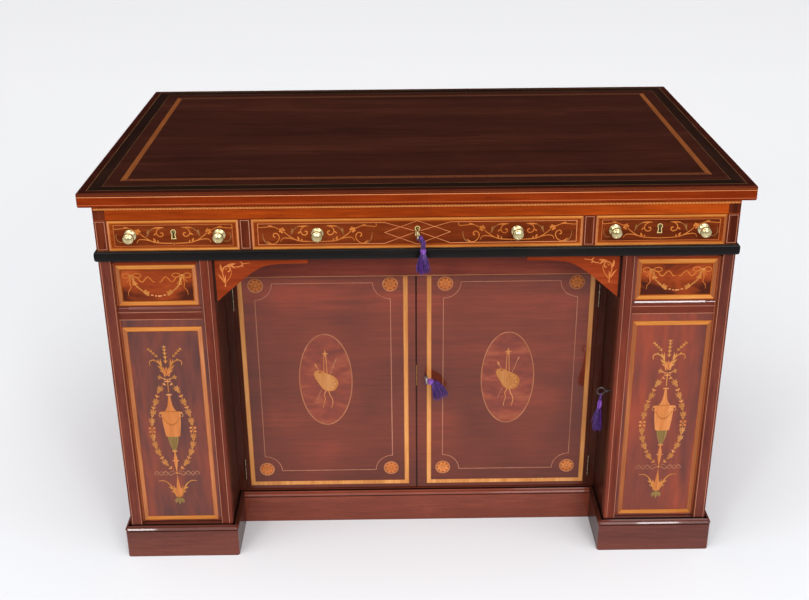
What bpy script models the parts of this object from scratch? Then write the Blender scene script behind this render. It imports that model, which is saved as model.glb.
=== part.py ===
"""Kneehole architect's desk with a rising top: two pedestals, a cupboard set back
between them, three frieze drawers, and a top leaf that tilts on a strut and rack.
Metres, +Z up, +X to the right of a sitter, the front towards -Y, floor at Z = 0."""

import math

import bmesh
import bpy
from mathutils import Matrix, Vector

# ---------------------------------------------------------------- driving sizes
GAP = 0.0003                      # clearance between touching pieces

TOP_HALF_WIDTH = 0.610
TOP_FRONT, TOP_BACK = -0.3755, 0.3885
TOP_UNDER, TOP_HEIGHT = 0.7654, 0.792

FRONT = -0.3555                   # plane of the posts, stiles and drawer fronts
BACK = 0.3685                     # outer face of the back panel
HALF = 0.589                      # outer face of the pedestals
KNEE = 0.381                      # inner face of the pedestals
BOARD = 0.016                     # thickness of sides and back
STILE = 0.022                     # width of the pedestal stiles
POST_DEPTH = 0.020

PLINTH_HEIGHT = 0.0717
PLINTH_OUT = 0.0107               # plinth beyond the carcass
PLINTH_THICK = 0.025
KNEE_PLINTH_FRONT = -0.2465

MOULD_LOW, MOULD_HIGH, MOULD_OUT = 0.6545, 0.6738, 0.0055
DUST_LOW, DUST_HIGH = 0.6547, 0.6738

RAIL_LOW, RAIL_HIGH = 0.734, 0.7651
DIVIDER_IN, DIVIDER_OUT = 0.304, 0.3255
CORNER_IN = 0.5665

DRAWER_LOW, DRAWER_HIGH = 0.6742, 0.7334
DRAWER_THICK = 0.018
DRAWER_DEPTH = 0.480
DRAWER_WALL = 0.008
KNOB_Z = 0.7045

WELL_LOW, WELL_HIGH = 0.737, 0.743

DOOR_FRONT, DOOR_THICK = -0.2335, 0.018
DOOR_LOW, DOOR_HIGH = 0.0745, 0.5832
DOOR_OUT = 0.3644
HEADER_FRONT, HEADER_LOW = -0.2735, 0.5836
DOOR_AXIS_X, DOOR_AXIS_Y = 0.3648, -0.2362

PED_DOOR_FRONT, PED_DOOR_THICK = -0.3465, 0.016
PED_DOOR_LOW, PED_DOOR_HIGH = 0.0735, 0.6475
PED_DOOR_OUT, PED_DOOR_IN = 0.5663, 0.4037
PED_AXIS_X, PED_AXIS_Y = 0.561, -0.3425

LEAF_AXIS_Y, LEAF_AXIS_Z = FRONT - 0.0032, TOP_UNDER - 0.0032
STRUT_REACH = 0.330               # hinge line to strut pivot, and the strut's own length
STRUT_Z = 0.757

DRAWER_KEY = Vector((0.0, FRONT, 0.708))
DOOR_KEY = Vector((0.0195, DOOR_FRONT, 0.345))
PED_KEY = Vector((KNEE, -0.3265, 0.354))
KEY_RING_OUT = 0.0215             # host face to ring centre
PED_RING_OUT = 0.0178
KEY_RING, KEY_RING_WIRE = 0.0077, 0.0018

# ---------------------------------------------------------------- clean start
for old in list(bpy.data.objects):
    bpy.data.objects.remove(old, do_unlink=True)

PARTS = bpy.data.collections.new("architects_desk")
CUTTERS = bpy.data.collections.new("cutters")
bpy.context.scene.collection.children.link(PARTS)
bpy.context.scene.collection.children.link(CUTTERS)


def material(name, colour, roughness, metallic=0.0):
    mat = bpy.data.materials.new(name)
    mat.use_nodes = True
    bsdf = mat.node_tree.nodes["Principled BSDF"]
    bsdf.inputs["Base Color"].default_value = (*colour, 1.0)
    bsdf.inputs["Roughness"].default_value = roughness
    bsdf.inputs["Metallic"].default_value = metallic
    return mat


MAHOGANY = material("mahogany", (0.16, 0.035, 0.015), 0.28)
FRIEZE = material("frieze_mahogany", (0.30, 0.065, 0.022), 0.28)
OAK = material("drawer_oak", (0.42, 0.27, 0.13), 0.6)
EBONY = material("ebonised_wood", (0.012, 0.010, 0.010), 0.3)
BRASS = material("brass", (0.70, 0.48, 0.18), 0.3, 1.0)
STEEL = material("iron", (0.30, 0.29, 0.27), 0.45, 1.0)
SILK = material("purple_silk", (0.16, 0.07, 0.20), 0.7)


# ---------------------------------------------------------------- modelling helpers
def put(obj, mat, coll=None):
    (coll or PARTS).objects.link(obj)
    obj.data.materials.append(mat)
    if coll is CUTTERS:
        obj.hide_render = True
        obj.display_type = "WIRE"
    return obj


def box(name, x, y, z, mat=MAHOGANY, coll=None):
    """A board between two corners, its origin in its middle."""
    bm = bmesh.new()
    bmesh.ops.create_cube(bm, size=1.0)
    bmesh.ops.scale(bm, vec=(abs(x[1] - x[0]), abs(y[1] - y[0]), abs(z[1] - z[0])), verts=bm.verts)
    mesh = bpy.data.meshes.new(name)
    bm.to_mesh(mesh)
    bm.free()
    obj = bpy.data.objects.new(name, mesh)
    obj.location = ((x[0] + x[1]) / 2, (y[0] + y[1]) / 2, (z[0] + z[1]) / 2)
    return put(obj, mat, coll)


def block(host, x, y, z):
    """A helper solid that is joined to, or cut from, its host."""
    return box("tool_" + host.name, x, y, z, host.data.materials[0], CUTTERS)


AXIS_TURN = {
    "X": Matrix.Rotation(math.radians(90), 4, "Y"),
    "Y": Matrix.Rotation(math.radians(90), 4, "X"),
    "Z": Matrix.Identity(4),
}


def rod(name, centre, axis, radius, length, mat=BRASS, coll=None, sides=16):
    bm = bmesh.new()
    bmesh.ops.create_cone(bm, cap_ends=True, segments=sides, radius1=radius, radius2=radius, depth=length)
    mesh = bpy.data.meshes.new(name)
    bm.to_mesh(mesh)
    bm.free()
    obj = bpy.data.objects.new(name, mesh)
    obj.matrix_world = Matrix.Translation(centre) @ AXIS_TURN[axis]
    put(obj, mat, coll)
    mesh.shade_smooth()
    mesh.set_sharp_from_angle(angle=math.radians(40))
    return obj


def bore(host, centre, axis, radius, length, sides=16):
    return rod("tool_" + host.name, centre, axis, radius, length, host.data.materials[0], CUTTERS, sides)


def boolean(host, operation, tools):
    for tool in tools:
        mod = host.modifiers.new(operation.lower(), "BOOLEAN")
        mod.operation = operation
        mod.solver = "EXACT"
        mod.object = tool
    return host


def join(host, *tools):
    return boolean(host, "UNION", tools)


def cut(host, *tools):
    return boolean(host, "DIFFERENCE", tools)


def sided(side, a, b):
    """A span in X, given on the right and mirrored for the left (side = -1)."""
    return (side * a, side * b) if side > 0 else (-b, -a)


def outline(name, points, half_thickness, mat):
    """A flat outline with thickness: drawn in XY, extruded both ways."""
    curve = bpy.data.curves.new(name, "CURVE")
    curve.dimensions = "2D"
    curve.fill_mode = "BOTH"
    curve.extrude = half_thickness
    spline = curve.splines.new("POLY")
    spline.points.add(len(points) - 1)
    for point, (u, v) in zip(spline.points, points):
        point.co = (u, v, 0.0, 1.0)
    spline.use_cyclic_u = True
    obj = bpy.data.objects.new(name, curve)
    return put(obj, mat)


def turned(name, profile, matrix, mat, steps=16):
    """A profile of (radius, height) from top to bottom, turned about its own Z."""
    mesh = bpy.data.meshes.new(name)
    mesh.from_pydata([(r, 0.0, h) for r, h in profile], [(i, i + 1) for i in range(len(profile) - 1)], [])
    obj = bpy.data.objects.new(name, mesh)
    obj.matrix_world = matrix
    put(obj, mat)
    mod = obj.modifiers.new("turn", "SCREW")
    mod.axis = "Z"
    mod.steps = steps
    mod.render_steps = steps
    mod.use_merge_vertices = True
    mod.merge_threshold = 0.00001
    mod.use_smooth_shade = True
    return obj


def axis_empty(name, place):
    empty = bpy.data.objects.new(name, None)
    empty.location = place
    empty.empty_display_size = 0.03
    PARTS.objects.link(empty)
    return empty


def hang(empty, *objects):
    """Parent pieces to the empty on their joint, leaving them where they are."""
    for obj in objects:
        obj.parent = empty
        obj.matrix_parent_inverse = Matrix.Translation(-empty.location)


def forward(place):
    """Local Z turned to face the sitter (-Y) at a point."""
    return Matrix.Translation(place) @ Matrix.Rotation(math.radians(90), 4, "X")


# ---------------------------------------------------------------- plinth and base
SIDE_OUT = HALF + PLINTH_OUT
KNEE_IN = KNEE - PLINTH_OUT
KNEE_BACK = KNEE_PLINTH_FRONT + PLINTH_THICK
PLINTH_FRONT = FRONT - PLINTH_OUT
FRONT_RUN = (PLINTH_FRONT, PLINTH_FRONT + PLINTH_THICK)

plinth_front = box("plinth_front", (-KNEE_IN - PLINTH_THICK, KNEE_IN + PLINTH_THICK),
                   (KNEE_PLINTH_FRONT, KNEE_BACK), (0.0, PLINTH_HEIGHT))
for side in (-1, 1):
    join(plinth_front,
         block(plinth_front, sided(side, KNEE_IN, KNEE_IN + PLINTH_THICK),
               (FRONT_RUN[0] + 0.001, KNEE_BACK - 0.001), (0.0, PLINTH_HEIGHT)),
         block(plinth_front, sided(side, KNEE_IN, SIDE_OUT), FRONT_RUN, (0.0, PLINTH_HEIGHT)))
    cut(plinth_front, bore(plinth_front, (side * PED_AXIS_X, PED_AXIS_Y, PLINTH_HEIGHT), "Z", 0.0022, 0.012, 12))

plinth_back = box("plinth_back", (-SIDE_OUT, SIDE_OUT),
                  (BACK + PLINTH_OUT - PLINTH_THICK, BACK + PLINTH_OUT), (0.0, PLINTH_HEIGHT))
for side in (-1, 1):
    join(plinth_back, block(plinth_back, sided(side, SIDE_OUT - PLINTH_THICK, SIDE_OUT),
                            (FRONT_RUN[1] + GAP, BACK), (0.0, PLINTH_HEIGHT)))

base_low, base_high = PLINTH_HEIGHT - 0.018, PLINTH_HEIGHT
base_out = SIDE_OUT - PLINTH_THICK - GAP
base_board = box("base_board", (-base_out, base_out),
                 (KNEE_BACK + GAP, BACK + PLINTH_OUT - PLINTH_THICK - GAP), (base_low, base_high), OAK)
for side in (-1, 1):
    join(base_board, block(base_board, sided(side, KNEE_IN + PLINTH_THICK + GAP, base_out),
                           (FRONT_RUN[1] + GAP, KNEE_BACK + 0.05), (base_low, base_high)))
    cut(base_board, bore(base_board, (side * PED_AXIS_X, PED_AXIS_Y, PLINTH_HEIGHT), "Z", 0.0022, 0.012, 12))

# ---------------------------------------------------------------- carcass boards
FOOT = PLINTH_HEIGHT + GAP
SIDE_FRONT = FRONT + POST_DEPTH + GAP
SIDE_BACK = BACK - BOARD - GAP
PED_TOP = DUST_LOW - GAP

for side, word in ((-1, "left"), (1, "right")):
    box(word + "_outer_side", sided(side, HALF - BOARD, HALF), (SIDE_FRONT, SIDE_BACK), (FOOT, RAIL_HIGH))
    inner = box(word + "_inner_side", sided(side, KNEE, KNEE + BOARD), (SIDE_FRONT, SIDE_BACK), (FOOT, PED_TOP))
    if side > 0:
        cut(inner, bore(inner, (KNEE + BOARD / 2, PED_KEY.y, PED_KEY.z), "X", 0.003, BOARD * 2))

    # face frame: an outer and an inner stile with a thin rail between them at the top
    frame = box(word + "_face_frame", sided(side, HALF - STILE, HALF), (FRONT, FRONT + POST_DEPTH), (FOOT, PED_TOP))
    join(frame,
         block(frame, sided(side, KNEE, KNEE + STILE), (FRONT, FRONT + POST_DEPTH), (FOOT, PED_TOP)),
         block(frame, sided(side, KNEE + 0.002, HALF - 0.002), (PED_DOOR_FRONT, FRONT + POST_DEPTH - 0.001),
               (PED_DOOR_HIGH + 0.0005, PED_TOP - 0.0005)))
    cut(frame, bore(frame, (side * PED_AXIS_X, PED_AXIS_Y, PED_DOOR_HIGH), "Z", 0.0022, 0.012, 12))

box("back_panel", (-HALF, HALF), (BACK - BOARD, BACK), (FOOT, RAIL_HIGH))

dust_board = box("dust_board", (-HALF + BOARD + GAP, HALF - BOARD - GAP), (FRONT + 0.004, SIDE_BACK), (DUST_LOW, DUST_HIGH), OAK)
join(dust_board, block(dust_board, (-HALF, HALF), (FRONT, FRONT + POST_DEPTH), (DUST_LOW, DUST_HIGH)))

ebonised_moulding = box("ebonised_moulding", (-HALF - MOULD_OUT, HALF + MOULD_OUT),
                        (FRONT - MOULD_OUT, BACK + MOULD_OUT), (MOULD_LOW, MOULD_HIGH), EBONY)
cut(ebonised_moulding, block(ebonised_moulding, (-HALF - GAP, HALF + GAP), (FRONT - GAP, BACK + GAP),
                             (MOULD_LOW - 0.01, MOULD_HIGH + 0.01)))

# kneehole frame: the rail over the doors, proud of them, and a hanging stile each side
kneehole_frame = box("kneehole_frame", (-KNEE + GAP, KNEE - GAP), (HEADER_FRONT, DOOR_FRONT + 0.020), (HEADER_LOW, PED_TOP))
for side in (-1, 1):
    join(kneehole_frame, block(kneehole_frame, sided(side, DOOR_OUT + 0.0008, KNEE - GAP),
                               (DOOR_FRONT, DOOR_FRONT + 0.0195), (FOOT, HEADER_LOW + 0.02)))

# spandrels: brackets under the moulding, a little behind the stiles; each is level near its tip,
# then bends down into a nearly straight slope
SPANDREL_TIP, SPANDREL_TIP_Z = 0.204, 0.6418
SPANDREL_BEND, SPANDREL_SOFT, SPANDREL_SLOPE = 0.2905, 0.012, 0.87
for side, word in ((-1, "left"), (1, "right")):
    span = KNEE - GAP - SPANDREL_TIP
    points = [(side * (KNEE - GAP), PED_TOP), (side * SPANDREL_TIP, PED_TOP)]
    for i in range(19):
        x = SPANDREL_TIP + span * i / 18.0
        drop = SPANDREL_SOFT * math.log1p(math.exp((x - SPANDREL_BEND) / SPANDREL_SOFT))
        points.append((side * x, SPANDREL_TIP_Z - SPANDREL_SLOPE * drop))
    spandrel = outline(word + "_spandrel", points, 0.008, FRIEZE)
    spandrel.matrix_world = forward((0.0, FRONT + 0.009 + 0.008, 0.0))

# ---------------------------------------------------------------- frieze
frieze_frame = box("frieze_frame", (-HALF, HALF), (FRONT, FRONT + POST_DEPTH), (RAIL_LOW, RAIL_HIGH), FRIEZE)
for side in (-1, 1):
    join(frieze_frame,
         block(frieze_frame, sided(side, CORNER_IN, HALF), (FRONT, FRONT + POST_DEPTH), (DUST_HIGH + GAP, RAIL_LOW + 0.01)),
         block(frieze_frame, sided(side, DIVIDER_IN, DIVIDER_OUT), (FRONT, FRONT + POST_DEPTH), (DUST_HIGH + GAP, RAIL_LOW + 0.01)))
    box(("left" if side < 0 else "right") + "_drawer_guide", sided(side, DIVIDER_IN + 0.005, DIVIDER_OUT - 0.0045),
        (SIDE_FRONT, SIDE_BACK), (DUST_HIGH + GAP, RAIL_LOW - GAP), OAK)

# the well board stops short of the rail, and the drawer's bolt rises in the gap and catches behind the rail
box("well_board", (-HALF + BOARD + GAP, HALF - BOARD - GAP), (FRONT + 0.0323, SIDE_BACK), (WELL_LOW, WELL_HIGH), OAK)

# rack: a board with saw teeth across it, under the strut's foot
RACK_FRONT, RACK_PITCH, RACK_TEETH, RACK_LOW, RACK_ROOT, RACK_TIP = 0.090, 0.020, 12, WELL_HIGH + GAP, 0.7450, 0.7468
rack_points = [(RACK_FRONT, RACK_LOW), (RACK_FRONT + RACK_PITCH * RACK_TEETH, RACK_LOW)]
for tooth in range(RACK_TEETH, 0, -1):
    rack_points.append((RACK_FRONT + RACK_PITCH * tooth, RACK_TIP))
    rack_points.append((RACK_FRONT + RACK_PITCH * (tooth - 1) + 0.004, RACK_ROOT))
strut_rack = outline("strut_rack", rack_points, 0.172, OAK)
strut_rack.matrix_world = Matrix(((0, 0, 1, 0), (1, 0, 0, 0), (0, 1, 0, 0), (0, 0, 0, 1)))

# ---------------------------------------------------------------- rising top
leaf_axis = axis_empty("axis_leaf", (0.0, LEAF_AXIS_Y, LEAF_AXIS_Z))
pivot_y = LEAF_AXIS_Y + STRUT_REACH
foot_y = LEAF_AXIS_Y + 2 * STRUT_REACH

top_leaf = box("top_leaf", (-TOP_HALF_WIDTH, TOP_HALF_WIDTH), (TOP_FRONT, TOP_BACK), (TOP_UNDER, TOP_HEIGHT))
for side in (-1, 1):
    # hanger blocks under the leaf, which carry the strut's pivot rod
    join(top_leaf, block(top_leaf, sided(side, 0.172, 0.196), (pivot_y - 0.010, pivot_y + 0.010), (0.748, TOP_UNDER + 0.002)))
    cut(top_leaf, bore(top_leaf, (side * 0.184, pivot_y, STRUT_Z), "X", 0.0045, 0.03))
hang(leaf_axis, top_leaf)

strut_axis = axis_empty("axis_strut", (0.0, pivot_y, STRUT_Z))
leaf_strut = box("leaf_strut", (-0.168, 0.168), (foot_y - 0.006, foot_y + 0.006), (STRUT_Z - 0.0082, STRUT_Z + 0.005), OAK)
for side in (-1, 1):
    join(leaf_strut, block(leaf_strut, sided(side, 0.150, 0.168), (pivot_y - 0.004, foot_y + 0.003), (STRUT_Z - 0.005, STRUT_Z + 0.0045)))
join(leaf_strut, rod("tool_strut_rod", (0.0, pivot_y, STRUT_Z), "X", 0.004, 0.386, OAK, CUTTERS))
hang(strut_axis, leaf_strut)

for side, word in ((-1, "left"), (1, "right")):
    hinge = rod(word + "_leaf_hinge", (side * 0.42, LEAF_AXIS_Y, LEAF_AXIS_Z), "X", 0.0029, 0.064)
    flap = box("tool_" + word + "_leaf_hinge", (side * 0.42 - 0.030, side * 0.42 + 0.030),
               (FRONT - 0.0014, FRONT - GAP), (LEAF_AXIS_Z - 0.0055, LEAF_AXIS_Z + 0.001), BRASS, CUTTERS)
    join(hinge, flap)

# ---------------------------------------------------------------- drawers
KNOB = [(0.0, 0.0262), (0.0060, 0.0255), (0.0095, 0.0232), (0.0108, 0.0200), (0.0098, 0.0168), (0.0068, 0.0145),
        (0.0047, 0.0120), (0.0045, 0.0070), (0.0060, 0.0045), (0.0108, 0.0030), (0.0118, 0.0012), (0.0118, GAP), (0.0, GAP)]
DRAWERS = {
    "left": (-CORNER_IN + 0.0005, -DIVIDER_OUT - 0.0005, (-0.5245, -0.362)),
    "centre": (-DIVIDER_IN + 0.0005, DIVIDER_IN - 0.0005, (-0.183, 0.183)),
    "right": (DIVIDER_OUT + 0.0005, CORNER_IN - 0.0005, (0.362, 0.5245)),
}
drawer_axes = {}
for word, (x0, x1, knob_xs) in DRAWERS.items():
    axis = drawer_axes[word] = axis_empty("axis_" + word + "_drawer", ((x0 + x1) / 2, FRONT, (DRAWER_LOW + DRAWER_HIGH) / 2))
    front = box(word + "_drawer_front", (x0, x1), (FRONT, FRONT + DRAWER_THICK), (DRAWER_LOW, DRAWER_HIGH), FRIEZE)
    y0, y1 = FRONT + DRAWER_THICK + GAP, FRONT + DRAWER_THICK + DRAWER_DEPTH
    z0, z1 = DRAWER_LOW, DRAWER_HIGH - 0.012
    tray = box(word + "_drawer_box", (x0 + 0.001, x1 - 0.001), (y0, y1), (z0, z1), OAK)
    cut(tray, block(tray, (x0 + 0.001 + DRAWER_WALL, x1 - 0.001 - DRAWER_WALL), (y0 - 0.02, y1 - DRAWER_WALL), (z0 + 0.006, z1 + 0.02)))
    hang(axis, front, tray)
    for number, kx in enumerate(knob_xs, 1):
        hang(axis, turned("%s_drawer_knob_%d" % (word, number), KNOB, forward((kx, FRONT, KNOB_Z)), BRASS))

centre_front = bpy.data.objects["centre_drawer_front"]
cut(centre_front, bore(centre_front, (DRAWER_KEY.x, FRONT + DRAWER_THICK / 2, DRAWER_KEY.z), "Y", 0.003, DRAWER_THICK * 2))
lock_y = FRONT + DRAWER_THICK + GAP
drawer_lock = box("centre_drawer_lock", (-0.025, 0.025), (lock_y, lock_y + 0.012), (0.690, 0.7325), BRASS)
cut(drawer_lock,
    block(drawer_lock, (-0.0104, 0.0104), (lock_y + 0.0028, lock_y + 0.0086), (0.7130, 0.740)),
    bore(drawer_lock, (DRAWER_KEY.x, lock_y, DRAWER_KEY.z), "Y", 0.003, 0.008))
drawer_bolt = box("centre_drawer_bolt", (-0.010, 0.010), (lock_y + 0.0032, lock_y + 0.0082), (0.7160, 0.7330), BRASS)
hang(drawer_axes["centre"], drawer_lock, drawer_bolt)

# ---------------------------------------------------------------- kneehole doors
door_axes = {}
for side, word in ((-1, "left"), (1, "right")):
    axis = door_axes[word] = axis_empty("axis_" + word + "_door", (side * DOOR_AXIS_X, DOOR_AXIS_Y, 0.33))
    door = box(word + "_door", sided(side, 0.0008, DOOR_OUT), (DOOR_FRONT, DOOR_FRONT + DOOR_THICK), (DOOR_LOW, DOOR_HIGH))
    if side > 0:
        cut(door, bore(door, (DOOR_KEY.x, DOOR_FRONT + DOOR_THICK / 2, DOOR_KEY.z), "Y", 0.003, DOOR_THICK * 2))
    hang(axis, door)
    for level, middle in (("upper", 0.521), ("lower", 0.125)):
        hinge = rod("%s_door_%s_hinge" % (word, level), (side * DOOR_AXIS_X, DOOR_AXIS_Y, middle), "Z", 0.0024, 0.050)
        join(hinge, box("tool_%s_door_%s_hinge" % (word, level), sided(side, DOOR_AXIS_X, DOOR_AXIS_X + 0.0065),
                        (DOOR_FRONT - 0.0012, DOOR_FRONT - GAP), (middle - 0.024, middle + 0.024), BRASS, CUTTERS))

lock_y = DOOR_FRONT + DOOR_THICK + GAP
door_lock = box("right_door_lock", (0.004, 0.050), (lock_y, lock_y + 0.010), (0.320, 0.372), BRASS)
cut(door_lock,
    block(door_lock, (-0.01, 0.0226), (lock_y + 0.002, lock_y + 0.0074), (0.3506, 0.3634)),
    bore(door_lock, (DOOR_KEY.x, lock_y, DOOR_KEY.z), "Y", 0.003, 0.008))
door_bolt = box("right_door_bolt", (0.0046, 0.022), (lock_y + 0.0024, lock_y + 0.0070), (0.351, 0.363), BRASS)
hang(door_axes["right"], door_lock, door_bolt)

# ---------------------------------------------------------------- pedestal doors
ped_axes = {}
for side, word in ((-1, "left"), (1, "right")):
    axis = ped_axes[word] = axis_empty("axis_" + word + "_pedestal_door", (side * PED_AXIS_X, PED_AXIS_Y, 0.36))
    door = box(word + "_pedestal_door", sided(side, PED_DOOR_IN, PED_DOOR_OUT),
               (PED_DOOR_FRONT, PED_DOOR_FRONT + PED_DOOR_THICK), (PED_DOOR_LOW, PED_DOOR_HIGH))
    # the hinge edge is eased at the front so that it turns clear of the stile
    ease = block(door, (-0.003, 0.003), (-0.003, 0.003), (PED_DOOR_LOW - 0.01, PED_DOOR_HIGH + 0.01))
    ease.location = (side * PED_DOOR_OUT, PED_DOOR_FRONT, (PED_DOOR_LOW + PED_DOOR_HIGH) / 2)
    ease.rotation_euler = (0.0, 0.0, math.radians(45))
    cut(door, ease)
    for z in (PED_DOOR_LOW, PED_DOOR_HIGH):
        cut(door, bore(door, (side * PED_AXIS_X, PED_AXIS_Y, z), "Z", 0.0022, 0.013, 12))
    if side > 0:
        # a cleat behind the free edge takes the lock's bolt from below
        join(door, block(door, (0.4072, 0.4192), (PED_DOOR_FRONT + PED_DOOR_THICK - 0.002, -0.3120), (0.378, 0.396)))
        cut(door, block(door, (0.4089, 0.4141), (-0.3237, -0.3163), (0.370, 0.389)))
    hang(axis, door)
    rod(word + "_pedestal_lower_pivot", (side * PED_AXIS_X, PED_AXIS_Y, PLINTH_HEIGHT + 0.001), "Z", 0.0018, 0.012, BRASS, None, 12)
    rod(word + "_pedestal_upper_pivot", (side * PED_AXIS_X, PED_AXIS_Y, PED_DOOR_HIGH), "Z", 0.0018, 0.011, BRASS, None, 12)

lock_x = KNEE + BOARD + GAP
ped_lock = box("pedestal_lock", (lock_x, lock_x + 0.018), (-0.3300, -0.2900), (0.332, 0.376), BRASS)
cut(ped_lock,
    block(ped_lock, (0.4091, 0.4139), (-0.3234, -0.3166), (0.350, 0.380)),
    bore(ped_lock, (lock_x, PED_KEY.y, PED_KEY.z), "X", 0.003, 0.008))
box("pedestal_lock_bolt", (0.4095, 0.4135), (-0.3230, -0.3170), (0.3535, 0.3755), BRASS)


# ---------------------------------------------------------------- keys and tassels
def key(name, place, turn, depth, reach):
    """A shank through the keyhole, a collar, and a ring bow standing upright."""
    frame = Matrix.Translation(place) @ turn
    shank = rod(name, Vector((0, 0, 0)), "Y", 0.0020, depth + reach - 0.0065, STEEL, None, 12)
    shank.matrix_world = frame @ Matrix.Translation((0.0, (depth - reach + 0.0065) / 2, 0.0)) @ AXIS_TURN["Y"]
    collar = rod("tool_" + name, Vector((0, 0, 0)), "Y", 0.0034, 0.003, STEEL, CUTTERS, 12)
    collar.matrix_world = frame @ Matrix.Translation((0.0, 0.0110 - reach, 0.0)) @ AXIS_TURN["Y"]
    bpy.ops.mesh.primitive_torus_add(major_segments=20, minor_segments=8, major_radius=KEY_RING, minor_radius=KEY_RING_WIRE)
    bow = bpy.context.object
    bow.name = "tool_bow_" + name
    for coll in list(bow.users_collection):
        coll.objects.unlink(bow)
    bow.matrix_world = frame @ Matrix.Translation((0.0, -reach, 0.0)) @ AXIS_TURN["X"]
    put(bow, STEEL, CUTTERS)
    join(shank, collar, bow)
    return shank


TASSEL = [(0.0, -0.0102), (0.0013, -0.0105), (0.0015, -0.0190), (0.0045, -0.0205), (0.0064, -0.0245), (0.0064, -0.0285),
          (0.0050, -0.0325), (0.0056, -0.0360), (0.0085, -0.0480), (0.0105, -0.0640), (0.0115, -0.0790), (0.0, -0.0795)]


def tassel(name, place, length, lean):
    """Cord, head and skirt as one plain turned solid that hangs from the lowest point of the ring, leaning to +X by an angle."""
    top = KEY_RING - 0.0102
    profile = [(r, top + (h + 0.0102) * length) for r, h in TASSEL]
    return turned(name, profile, Matrix.Translation(place - Vector((0.0, 0.0, KEY_RING))) @ Matrix.Rotation(-lean, 4, "Y"), SILK, 12)


FACING = Matrix.Identity(4)
FACING_LEFT = Matrix.Rotation(math.radians(-90), 4, "Z")     # key in the inner side, pointing to -X

for name, host, turn, depth, reach, length, lean in (
        ("centre_drawer", DRAWER_KEY, FACING, 0.0205, KEY_RING_OUT, 1.0, 0.0),
        ("right_door", DOOR_KEY, FACING, 0.0205, KEY_RING_OUT, 0.60, math.radians(38)),
        ("pedestal", PED_KEY, FACING_LEFT, 0.0185, PED_RING_OUT, 1.12, 0.0)):
    axis = axis_empty("axis_" + name + "_key", host)
    outward = (turn @ Vector((0.0, -1.0, 0.0, 0.0))).to_3d()
    hang(axis,
         key(name + "_key", host, turn, depth, reach),
         tassel(name + "_tassel", host + outward * reach, length, lean))
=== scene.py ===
"""Looks of an inlaid mahogany kneehole desk with a rising top: veneers, stringing, marquetry, brass and tassels."""

import math
import random

import bmesh
import bpy
from mathutils import Matrix, Vector


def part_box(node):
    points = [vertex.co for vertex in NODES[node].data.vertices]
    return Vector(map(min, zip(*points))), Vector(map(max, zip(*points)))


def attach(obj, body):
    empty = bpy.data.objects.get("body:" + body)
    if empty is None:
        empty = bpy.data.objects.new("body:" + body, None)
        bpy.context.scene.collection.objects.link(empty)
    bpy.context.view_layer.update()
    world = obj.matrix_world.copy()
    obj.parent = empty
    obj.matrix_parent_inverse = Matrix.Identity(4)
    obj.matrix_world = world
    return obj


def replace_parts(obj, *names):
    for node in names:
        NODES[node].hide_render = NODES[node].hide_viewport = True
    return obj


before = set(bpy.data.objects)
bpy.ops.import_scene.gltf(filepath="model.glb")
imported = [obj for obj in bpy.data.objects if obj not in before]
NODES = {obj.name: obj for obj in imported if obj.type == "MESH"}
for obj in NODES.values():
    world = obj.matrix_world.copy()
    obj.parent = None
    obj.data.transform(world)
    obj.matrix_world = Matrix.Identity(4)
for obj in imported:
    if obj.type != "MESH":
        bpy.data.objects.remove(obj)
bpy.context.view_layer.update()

# ---------------------------------------------------------------- sizes that the veneers follow, in metres
FRONT = -0.3555            # face of the drawers, posts and stiles
PANEL_FACE = -0.3465       # face of the pedestal doors and spandrels
DOOR_FACE = -0.2335        # face of the kneehole doors
TOP_FACE = 0.792
TOP_HALF, TOP_NEAR, TOP_FAR, TOP_UNDER = 0.610, -0.3755, 0.3885, 0.7654
DRAWER_MID = 0.7038

SINK = 0.0004              # how deep each inlaid piece goes into the wood
SHEET, BAND, LINE, MOTIF, OVER, CROWN = 0.00006, 0.00010, 0.00014, 0.00018, 0.00022, 0.00026

MM = 0.001


# ---------------------------------------------------------------- materials
def lin(rgb):
    """Linear colour of an 8-bit display colour."""
    def one(c):
        c /= 255.0
        return c / 12.92 if c <= 0.04045 else ((c + 0.055) / 1.055) ** 2.4
    return (one(rgb[0]), one(rgb[1]), one(rgb[2]), 1.0)


def new_material(name):
    m = bpy.data.materials.new(name)
    m.use_nodes = True
    nt = m.node_tree
    nt.nodes.clear()
    out = nt.nodes.new("ShaderNodeOutputMaterial")
    sh = nt.nodes.new("ShaderNodeBsdfPrincipled")
    nt.links.new(sh.outputs["BSDF"], out.inputs["Surface"])
    return m, nt, sh


def noise(nt, vector, scale, detail=2.0, rough=0.5, distortion=0.0):
    n = nt.nodes.new("ShaderNodeTexNoise")
    n.inputs["Scale"].default_value = scale
    n.inputs["Detail"].default_value = detail
    n.inputs["Roughness"].default_value = rough
    n.inputs["Distortion"].default_value = distortion
    nt.links.new(vector, n.inputs["Vector"])
    return n.outputs["Fac"]


def maths(nt, op, a, b):
    n = nt.nodes.new("ShaderNodeMath")
    n.operation = op
    for i, v in enumerate((a, b)):
        if isinstance(v, (int, float)):
            n.inputs[i].default_value = v
        else:
            nt.links.new(v, n.inputs[i])
    return n.outputs[0]


def ramp(nt, fac, stops):
    n = nt.nodes.new("ShaderNodeValToRGB")
    while len(n.color_ramp.elements) < len(stops):
        n.color_ramp.elements.new(0.5)
    for e, (p, c) in zip(n.color_ramp.elements, stops):
        e.position = p
        e.color = c
    nt.links.new(fac, n.inputs["Fac"])
    return n.outputs["Color"]


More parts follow.
